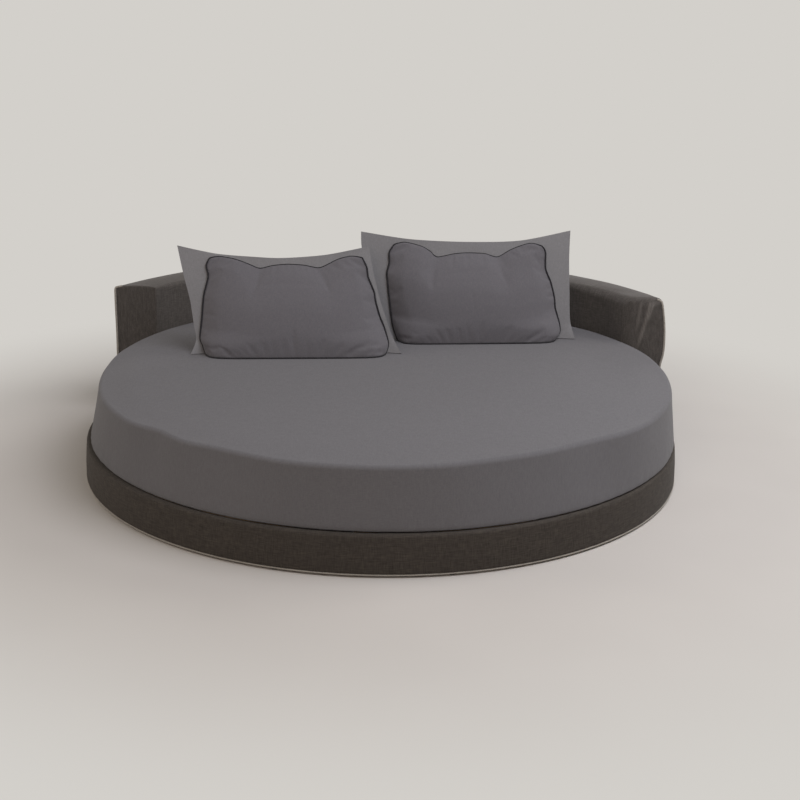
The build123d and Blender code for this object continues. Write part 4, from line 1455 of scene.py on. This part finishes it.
        felt = Workpiece.turned("insulator_felt", self.felt_outline(), 240, self.centre, False)
        felt.shape(self.settle)
        felt.hand_over("mattress", "felt", FELT.build(), ("mattress_insulator",))

        sheet = Workpiece.turned(
            "fitted_sheet_cloth", self.outline(0.0, self.hem), self.sheet_steps, self.centre, False
        )
        sheet.shape(self.settle)
        sheet.modify("SOLIDIFY", thickness=self.cloth, offset=-1.0)
        made = sheet.hand_over(
            "mattress", "sheet_cotton", SHEET_COTTON.build(), ("fitted_sheet",), 70.0
        )
        elastic = self.elastic()

    def felt_outline(self) -> list[Point]:
        """Gives the section of the felt that lies between the springs and the comfort foam.

        Returns:
            Points of radius and height.
        """
        reach = self.radius - self.ticking_inset - 0.003
        high, low = (self.top - depth for depth in self.felt_depths)
        points = [(0.0, high)]
        points += line(points[-1], (reach, high), 24)
        points += line(points[-1], (reach, low), 1)
        points += line(points[-1], (0.0, low), 24)
        return points

    def tape(self, name: str, height: float) -> Workpiece:
        """Turns a flat tape bead that binds the ticking's edge at a height.

        Args:
            name: The piece's name.
            height: The bead's height above the floor.

        Returns:
            The bead's piece, before it settles.
        """
        reach, half = self.radius - 0.0028, self.tape_half
        section = [
            (reach - 0.002, height - half), (reach, height - 0.7 * half), (reach + 0.0009, height),
            (reach, height + 0.7 * half), (reach - 0.002, height + half), (reach - 0.004, height),
        ]
        return Workpiece.turned(name, section, self.ticking_steps, self.centre, True)

    def elastic(self) -> bpy.types.Object:
        """Turns the ribbed elastic band that draws the hem in under the mattress.

        Returns:
            The finished band.
        """
        inner = self.radius - self.hem - 0.0055
        outer, low, high = inner + self.elastic_width, self.bottom + 0.0001, self.bottom + 0.0013
        section = [(inner, low), (outer, low), (outer, high), (inner, high)]
        steps = 4 * self.elastic_ribs
        band = Workpiece.turned("sheet_elastic_band", section, steps, self.centre, True)

        def rib(point: Vector) -> Vector:
            """Gathers the band in small waves."""
            turn = math.atan2(point.y - self.centre[1], point.x - self.centre[0])
            wave = 0.5 + 0.5 * math.sin(self.elastic_ribs * turn)
            return point + Vector((0, 0, 0.0006 * wave))

        band.shape(rib)
        return band.hand_over("mattress", "elastic", HEM_ELASTIC.build(), ("sheet_elastic",))


@dataclass
class Route:
    """A smooth line through points in a pillow's plane, in millimetres."""

    points: Sequence[Point]

    def __post_init__(self) -> None:
        """Measures the line, so that it can be read by share of its length."""
        self.marks = [0.0]
        for a, b in zip(self.points, self.points[1:]):
            self.marks.append(self.marks[-1] + math.dist(a, b))

    def at(self, share: float) -> Point:
        """Gives the point at a share of the line's length.

        Args:
            share: From 0 at its start to 1 at its end.

        Returns:
            The point, in millimetres.
        """
        goal = min(1.0, max(0.0, share)) * self.marks[-1]
        last = len(self.points) - 2
        index = next((i for i in range(last + 1) if goal <= self.marks[i + 1]), last)
        span = self.marks[index + 1] - self.marks[index]
        t = (goal - self.marks[index]) / span if span else 0.0
        a = self.points[max(0, index - 1)]
        b, c = self.points[index], self.points[index + 1]
        d = self.points[min(last + 1, index + 2)]

        def blend(k: int) -> float:
            """Runs a gentle cubic through one coordinate."""
            slope_b, slope_c = 0.4 * (c[k] - a[k]), 0.4 * (d[k] - b[k])
            return (
                (2 * t**3 - 3 * t**2 + 1) * b[k]
                + (t**3 - 2 * t**2 + t) * slope_b
                + (3 * t**2 - 2 * t**3) * c[k]
                + (t**3 - t**2) * slope_c
            )

        return (blend(0), blend(1))


@dataclass
class FlangedPillow:
    """A stuffed pillow in a case with a wide flange and scalloped dark piping.

    Points in its plane are millimetres across and up the lean, from the middle of its foot.
    """

    side: str
    place: tuple[float, float, float]
    yaw: float
    lean: float
    left: Sequence[Point]
    top: Sequence[Point]
    right: Sequence[Point]
    rims: Sequence[Sequence[Point]]
    seed: float
    front: float = 0.080
    back: float = 0.095
    front_knots: Knots = (
        (0, 0.86), (0.10, 0.93), (0.32, 0.97), (0.60, 0.82), (0.84, 0.42), (1.0, 0.0),
    )
    back_knots: Knots = (
        (0, 0.86), (0.15, 1.0), (0.42, 0.84), (0.68, 0.58), (0.88, 0.24), (1.0, 0.0),
    )
    squareness: Point = (2.5, 7.5)
    square_reach: float = 0.30
    crown_power: float = 0.8
    before_swelling: float = 0.93
    seam: float = 0.004
    cuts: tuple[int, int, int] = (100, 3, 54)
    swell_cap: float = 0.0045
    pressure: float = 4.0
    sim_frames: int = 20
    seam_slack: float = 1e-4
    held_foot: float = 0.004
    sink: float = 0.0012
    tuck_share: float = 0.12
    foot_spread: float = 0.016
    foot_reach_mm: float = 60.0
    flange_gap: float = 0.0018
    flange_thickness: float = 0.0028
    flange_wave: float = 0.006
    flange_wave_rate: float = 0.0065
    piping_radius: float = 0.0031
    piping_steps: int = 40
    piping_stand: float = 0.6
    piping_sink: float = 1.9
    piping_lead: float = 0.003
    pressed_share: float = 0.52
    pressed_from: Point = (0.9, 1.1)
    pressed_to: Point = (1.9, 2.125)

    def __post_init__(self) -> None:
        """Works out the pillow's axes and measures its lines."""
        yaw, lean = math.radians(self.yaw), math.radians(self.lean)
        self.origin = Vector(self.place)
        self.across = Vector((math.cos(yaw), math.sin(yaw), 0))
        flat = math.cos(lean)
        self.up = Vector((-math.sin(yaw) * flat, math.cos(yaw) * flat, math.sin(lean)))
        self.ahead = Vector((math.sin(yaw), -math.cos(yaw), 0))
        self.facing = self.across.cross(self.up)
        self.edges = [Route(self.left), Route(self.top), Route(self.right)]
        self.foot = Route([self.left[0], self.right[0]])
        self.rim = [Route(rim) for rim in self.rims]

    def spot(self, flat: Point, ahead: float = 0.0, proud: float = 0.0) -> Vector:
        """Places a point of the pillow's plane, moved level forwards or off the plane.

        Args:
            flat: Millimetres across and up the lean.
            ahead: Metres level forwards.
            proud: Metres off the plane.

        Returns:
            Its place on the bed.
        """
        return (
            self.origin
            + self.across * (flat[0] * MM)
            + self.up * (flat[1] * MM)
            + self.ahead * ahead
            + self.facing * proud
        )

    def panel(self, u: float, v: float) -> Point:
        """Gives the point of the front panel at shares across and up, between its four seams.

        Args:
            u: Share across, from the left seam.
            v: Share up, from the foot.

        Returns:
            The point in the pillow's plane.
        """
        left, top, right = self.edges
        low, high, west, east = self.foot.at(u), top.at(u), left.at(v), right.at(v)
        corners = (self.left[0], self.right[0], self.top[0], self.top[-1])
        return tuple(
            (1 - v) * low[k] + v * high[k] + (1 - u) * west[k] + u * east[k]
            - (1 - u) * (1 - v) * corners[0][k] - u * (1 - v) * corners[1][k]
            - (1 - u) * v * corners[2][k] - u * v * corners[3][k]
            for k in (0, 1)
        )

    def crown(self, across: float, v: float) -> float:
        """Gives the share of full depth across: rounder up the sides, squarer at the foot."""
        sides, foot = self.squareness
        squareness = sides + (foot - sides) * (1 - smooth_step(0.0, self.square_reach, v))
        return max(0.0, 1 - abs(across) ** squareness) ** self.crown_power

    def stuffed(self, point: Vector) -> Vector:
        """Turns a point of the gridded block into one of the stuffed body.

        Args:
            point: A point of the block, from -1 to 1 each way.

        Returns:
            Its place on the bed.
        """
        u, v = (point.x + 1) / 2, (point.z + 1) / 2
        flat = self.panel(u, v)
        crown = self.crown(point.x, v)
        ahead = point.y < 0
        knots, depth = (self.front_knots, self.front) if ahead else (self.back_knots, self.back)
        thick = self.seam + depth * along(knots, v) * crown * self.before_swelling
        place = self.spot(flat, -point.y * thick)
        place.z = max(place.z, self.origin.z - self.sink)
        return place

    def swell(self, piece: Workpiece) -> None:
        """Blows the body up as cloth between its seams, and holds each point near its start.

        Args:
            piece: The pillow's body, whose points move.
        """
        obj = piece.obj
        held = obj.vertex_groups.new(name="seams")
        starts = [v.co.copy() for v in obj.data.vertices]
        foot = self.origin.z + self.held_foot
        edge = [
            v.index
            for v in obj.data.vertices
            if v.co.z < foot or abs(self.plane_depth(v.co)) < self.seam + self.seam_slack
        ]
        held.add(edge, 1.0, "REPLACE")
        log.info("%s: %d points held at its seams", obj.name, len(edge))
        piece.take_up()
        bpy.ops.object.modifier_add(type="CLOTH")
        cloth = obj.modifiers[-1]
        settings = cloth.settings
        settings.quality = 6
        settings.mass = 0.3
        settings.tension_stiffness = settings.compression_stiffness = 15
        settings.shear_stiffness = 8
        settings.bending_stiffness = 2.5
        settings.use_pressure = True
        settings.uniform_pressure_force = self.pressure
        settings.shrink_min = -0.01
        settings.vertex_group_mass = held.name
        settings.effector_weights.gravity = 0
        cloth.collision_settings.use_collision = False
        cloth.point_cache.frame_start = 1
        cloth.point_cache.frame_end = self.sim_frames
        for frame_number in range(1, self.sim_frames + 1):
            bpy.context.scene.frame_set(frame_number)
        bpy.ops.object.modifier_apply(modifier=cloth.name)
        bpy.context.scene.frame_set(1)
        for vertex, start in zip(obj.data.vertices, starts):
            moved = vertex.co - start
            if moved.length > self.swell_cap:
                vertex.co = start + moved * (self.swell_cap / moved.length)
            vertex.co.z = max(vertex.co.z, self.origin.z - self.sink)
        obj.vertex_groups.clear()

    def plane_depth(self, place: Vector) -> float:
        """Gives how far level ahead of the pillow's plane a place is."""
        return (place - self.origin).dot(self.facing) / self.ahead.dot(self.facing)

    def border(self, point: Vector) -> Vector:
        """Turns a point of a flat grid into one of the flange that runs round three sides.

        Args:
            point: A point of the grid, from -1 to 1 each way.

        Returns:
            Its place on the bed.
        """
        share, out = (point.x + 1) / 2 * 3, (point.y + 1) / 2
        side = min(2, int(share))
        part = share - side
        if side == 2:
            inner, outer = self.edges[2].at(1 - part), self.rim[2].at(part)
        else:
            inner, outer = self.edges[side].at(part), self.rim[side].at(part)
        reach = out * (1 + self.tuck_share) - self.tuck_share
        flat = (inner[0] + (outer[0] - inner[0]) * reach, inner[1] + (outer[1] - inner[1]) * reach)
        free = max(0.0, reach)
        rate = self.flange_wave_rate
        proud = free * self.flange_wave * waver(flat[0] * rate, flat[1] * rate, self.seed)
        foot = (1 - smooth_step(0, self.foot_reach_mm, flat[1])) * free
        place = self.spot(flat, self.foot_spread * foot, proud)
        place.z = max(place.z, self.origin.z + self.flange_gap)
        return place

    def make(self) -> None:
        """Builds the case with its flange, and the piping on its seam."""
        case = Workpiece.block(f"pillow_{self.side}_stuffed_case", self.cuts)
        case.shape(self.stuffed)
        case.face_outwards()
        self.swell(case)
        case.modify("SUBSURF", levels=1, render_levels=1)
        body = f"pillow_{self.side}"
        made = case.hand_over(
            body, "pillow_cotton", PILLOW_COTTON.build(), (f"{body}_filling",), 70.0
        )
        flange = Workpiece.grid(f"{body}_flange", (210, 12))
        flange.shape(self.border)
        flange.modify("SOLIDIFY", thickness=self.flange_thickness, offset=0.0)
        flange.face_outwards()
        # The flange takes the lighter-painted copy of the case's cotton, standing in for the light
        # that falls on it.
        flange.hand_over(body, "pillow_cotton", FLANGE_COTTON_PAINTED_LIGHTER.build(), (f"{body}_case",))
        route, shares = self.piping_route()
        piping = Workpiece.cord(f"{body}_scalloped_piping", route, self.piping_radius, True, shares)
        piping.hand_over(body, "piping", CHARCOAL_PIPING.build(), (f"{body}_piping",))

    def piping_route(self) -> tuple[list[Vector], list[float]]:
        """Runs the piping up the left seam, over the top, down the right and along the foot.

        Returns:
            Its points, and the share of its radius that shows at each: along the top it is
            pressed thin between the case's edges.
        """
        steps = self.piping_steps
        flats = [edge.at(i / steps) for edge in self.edges[:2] for i in range(steps)]
        flats += [self.edges[2].at(1 - i / steps) for i in range(steps + 1)]
        (low, high), (full, end) = self.pressed_from, self.pressed_to
        shares = []
        for place in (n / steps for n in range(len(flats))):
            pressed = smooth_step(low, high, place) * smooth_step(end, full, place)
            shares.append(1 - self.pressed_share * pressed)
        route = []
        for flat, share in zip(flats, shares):
            stand = self.piping_stand - self.piping_sink * (1 - share)
            route.append(self.spot(flat, 0.0, self.seam + stand * self.piping_radius))
        shares += [1.0] * (steps - 1)
        depth = self.front * self.front_knots[0][1] * self.before_swelling
        for i in range(1, steps):
            share = 0.5 + 0.5 * math.cos(math.pi * i / steps)
            ahead = self.seam + depth * self.crown(2 * share - 1, 0.0)
            route.append(self.spot(self.foot.at(share), ahead + self.piping_lead))
        for point in route:
            point.z = max(point.z, self.origin.z + self.piping_stand * self.piping_radius)
        return route, shares


LEFT_PILLOW = FlangedPillow(
    side="left",
    place=(-0.318, 0.190, 0.3306),
    yaw=6.6,
    lean=66.0,
    left=(
        (-325, 0), (-336, 32), (-345, 59), (-339, 128), (-332, 210), (-316, 281), (-323, 321),
        (-311, 349),
    ),
    top=(
        (-311, 349), (-277, 355), (-220, 345), (-169, 326), (-131, 311), (-85, 321), (-29, 326),
        (32, 322), (86, 313), (148, 343), (199, 356), (240, 350),
    ),
    right=(
        (321, 0), (330, 37), (315, 97), (301, 133), (287, 186), (281, 224), (261, 277), (256, 314),
        (240, 350),
    ),
    rims=(
        ((-380, 0), (-359, 50), (-367, 105), (-381, 196), (-404, 287), (-427, 395)),
        ((-427, 395), (-292, 366), (-175, 355), (-58, 349), (105, 360), (264, 392)),
        ((264, 392), (282, 286), (303, 194), (334, 91), (352, 45), (376, 0)),
    ),
    seed=3.1,
)
RIGHT_PILLOW = FlangedPillow(
    side="right",
    place=(0.338, 0.455, 0.3306),
    yaw=7.9,
    lean=74.0,
    left=(
        (-305, 0), (-318, 34), (-327, 74), (-338, 178), (-343, 249), (-334, 286), (-333, 327),
        (-314, 356),
    ),
    top=(
        (-314, 356), (-275, 364), (-211, 348), (-178, 328), (-155, 308), (-87, 320), (-42, 323),
        (26, 320), (73, 307), (128, 336), (197, 358), (242, 348),
    ),
    right=(
        (290, 0), (308, 27), (304, 65), (291, 114), (288, 155), (275, 211), (256, 262), (256, 326),
        (242, 348),
    ),
    rims=(
        ((-376, 0), (-372, 60), (-398, 180), (-434, 335), (-437, 404)),
        ((-437, 404), (-255, 375), (-44, 364), (160, 368), (353, 405)),
        ((353, 405), (347, 302), (347, 181), (348, 69), (363, 0)),
    ),
    seed=8.4,
)


@dataclass
class HiddenWork:
    """The frame, fixings and fillings that the CAD already has, with their finishes."""

    def dress(self) -> None:
        """Gives each CAD node that still shows its material."""
        finishes: tuple[tuple[Any, tuple[str, ...]], ...] = (
            (BENT_PLY, ("side_rail_front", "side_rail_back", "packing_blocks",
                        "headboard_inner_board", "headboard_outer_board")),
            (FLAT_PLY, ("headboard_bottom_plate", "headboard_top_plate", "headboard_end_boards")),
            (SLAT_PINE, ("slats_left", "slats_right")),
            (BEAM_PINE, ("centre_beam", "ledger_left", "ledger_right")),
            (STUD_PINE, ("headboard_studs",)),
            (STEEL, ("joining_plates", "plate_screws", "beam_shoes", "ledger_screws", "slat_screws",
                     "bolt_washers", "headboard_bolts", "headboard_nuts", "centre_feet")),
            (NYLON, ("base_glides", "headboard_glides")),
            (FELT, ("mattress_base_felt",)),
            (POCKET_FLEECE, ("mattress_spring_unit",)),
        )
        for finish, names in finishes:
            material = finish.build()
            for name in names:
                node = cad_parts[name]
                node.data.materials.clear()
                node.data.materials.append(material)
                log.info("%s: CAD node in %s", name, finish.name)


@dataclass(frozen=True)
class Lamp:
    """A square soft light: where it hangs, what it faces, its side, its watts and its colour."""

    name: str
    place: tuple[float, float, float]
    aim: tuple[float, float, float]
    size: float
    power: float
    tint: str

    def hang(self) -> None:
        """Adds the light to the scene."""
        deselect_all()
        bpy.ops.object.light_add(type="AREA", location=self.place)
        light = bpy.context.active_object
        light.name = self.name
        light.data.size = self.size
        light.data.energy = self.power
        light.data.color = linear(self.tint)[:3]
        facing = Vector(self.aim) - Vector(self.place)
        light.rotation_euler = facing.to_track_quat("-Z", "Y").to_euler()


@dataclass
class Studio:
    """A pale sweep, soft lights and the camera."""

    floor_size: float = 16.0
    wall_y: float = 7.0
    wall_height: float = 7.0
    edge_slack: float = 0.1
    sweep_radius: float = 2.0
    camera_place: tuple[float, float, float] = (0.2442, -4.9930, 1.771)
    heading: float = 92.08
    pitch: float = 17.20
    roll: float = 0.92
    lens: float = 67.5
    sensor: float = 36.0
    paint: str = "#d3d0cb"
    fill_tint: str = "#f2f0ed"
    fill_strength: float = 0.20
    mottle_mm: float = 600.0
    mottle_tints: tuple[str, str] = ("#d1cdc8", "#d5d1cc")
    shadow_reach: Point = (1.15, 2.4)
    lamps: tuple[Lamp, ...] = (
        Lamp("overhead_light", (1.6, -1.0, 3.6), (0.0, 0.1, 0.2), 2.8, 86, "#f9f9ff"),
        Lamp("right_light", (3.9, 1.2, 3.0), (0.3, 0.2, 0.3), 2.2, 50, "#fffaf4"),
        Lamp("left_light", (-4.2, -0.6, 2.2), (-0.3, 0.0, 0.3), 2.2, 34, "#fff4e8"),
        Lamp("back_light", (1.6, 5.2, 1.5), (0.1, 1.0, 0.3), 2.4, 38, "#fbfaff"),
        Lamp("front_light", (-0.8, -5.0, 2.8), (0.0, 0.2, 0.3), 2.4, 38, "#ffe9d6"),
    )

    def backdrop(self) -> None:
        """Builds the floor and wall as one sheet with a swept corner."""
        deselect_all()
        bpy.ops.mesh.primitive_plane_add(size=self.floor_size)
        piece = Workpiece("studio_sweep")
        piece.shape(lambda p: Vector((p.x, p.y if p.y < 0 else self.wall_y, 0)))
        near, low = self.wall_y - self.edge_slack, self.edge_slack
        piece.pick(Kind.EDGE, lambda e: all(v.co.y > near for v in e.verts))
        bpy.ops.mesh.extrude_region_move(TRANSFORM_OT_translate={"value": (0, 0, self.wall_height)})
        piece.pick(Kind.EDGE, lambda e: all(v.co.y > near and v.co.z < low for v in e.verts))
        bpy.ops.mesh.bevel(offset=self.sweep_radius, segments=16, affect="EDGES")
        deselect_all()
        # Painted studio floor: pale, matt, with only a trace of mottling.
        bath = Bath("pale_studio_paint", Specular_IOR_Level=0.1, Roughness=0.9)
        mottle = bath.grainy(bath.place, (self.mottle_mm,) * 3)
        colour = bath.tint(mottle, ((0.3, self.mottle_tints[0]), (0.7, self.mottle_tints[1])))
        material = bath.finish(colour, bath.relief(((mottle, 0.01),)))
        away = bath.node("ShaderNodeVectorMath", {"operation": "LENGTH"}, i0=bath.place)
        far = bath.node(
            "ShaderNodeMapRange",
            {"interpolation_type": "SMOOTHSTEP"},
            Value=away.outputs["Value"],
            From_Min=self.shadow_reach[0],
            From_Max=self.shadow_reach[1],
        )
        shown = bath.node("ShaderNodeMath", {"operation": "MULTIPLY"}, i0=far, i1=bath.seen())
        glow = bath.node("ShaderNodeEmission", Color=linear(self.paint), Strength=1.0)
        both = bath.node("ShaderNodeMixShader", Fac=shown, i1=bath.shader, i2=glow)
        bath.feed(bath.output, Surface=both)
        piece.obj.data.materials.append(material)
        for face in piece.obj.data.polygons:
            face.use_smooth = True

    def lights(self) -> None:
        """Hangs the lights, and sets a soft grey world that shows as the pale backdrop."""
        for lamp in self.lamps:
            lamp.hang()
        world = bpy.data.worlds.new("even_studio_world")
        world.use_nodes = True
        sky = NodeWork(world.node_tree)
        fill = linear(self.fill_tint)
        soft = sky.node("ShaderNodeBackground", Color=fill, Strength=self.fill_strength)
        pale = sky.node("ShaderNodeBackground", Color=linear(self.paint))
        both = sky.node("ShaderNodeMixShader", Fac=sky.seen(), i1=soft, i2=pale)
        sky.node("ShaderNodeOutputWorld", Surface=both)
        bpy.context.scene.world = world

    def camera(self) -> None:
        """Places the camera at a standing person's eyes, in front and a little to the right."""
        turn, dip = math.radians(self.heading), math.radians(self.pitch)
        level = math.cos(dip)
        forward = Vector((math.cos(turn) * level, math.sin(turn) * level, -math.sin(dip)))
        right = forward.cross(Vector((0, 0, 1))).normalized()
        up = right.cross(forward)
        tilt = Matrix.Rotation(math.radians(self.roll), 3, "Z")
        facing = Matrix((right, up, -forward)).transposed() @ tilt
        deselect_all()
        bpy.ops.object.camera_add(location=self.camera_place, rotation=facing.to_euler())
        eye = bpy.context.active_object
        eye.name = "standing_view"
        eye.data.lens = self.lens
        eye.data.sensor_width = self.sensor
        eye.data.clip_end = 100.0
        bpy.context.scene.camera = eye

    def set_up(self) -> None:
        """Builds the whole studio."""
        self.backdrop()
        self.lights()
        self.camera()
        bpy.context.scene.view_settings.view_transform = "Standard"


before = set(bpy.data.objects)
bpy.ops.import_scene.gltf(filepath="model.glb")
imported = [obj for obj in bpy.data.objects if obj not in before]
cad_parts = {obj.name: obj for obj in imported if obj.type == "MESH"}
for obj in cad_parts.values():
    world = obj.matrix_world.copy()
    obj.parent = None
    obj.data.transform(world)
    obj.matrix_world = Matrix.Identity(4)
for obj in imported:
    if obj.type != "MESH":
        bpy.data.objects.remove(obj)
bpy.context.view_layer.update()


def main() -> None:
    """Builds the bed's soft pieces, dresses the CAD nodes and sets up the studio."""
    logging.basicConfig(level=logging.INFO, format="%(message)s", force=True)
    Studio().set_up()
    BaseUpholstery().make()
    HeadboardUpholstery().make()
    SoftMattress().make()
    LEFT_PILLOW.make()
    RIGHT_PILLOW.make()
    HiddenWork().dress()
    deselect_all()


if __name__ == "__main__":
    main()
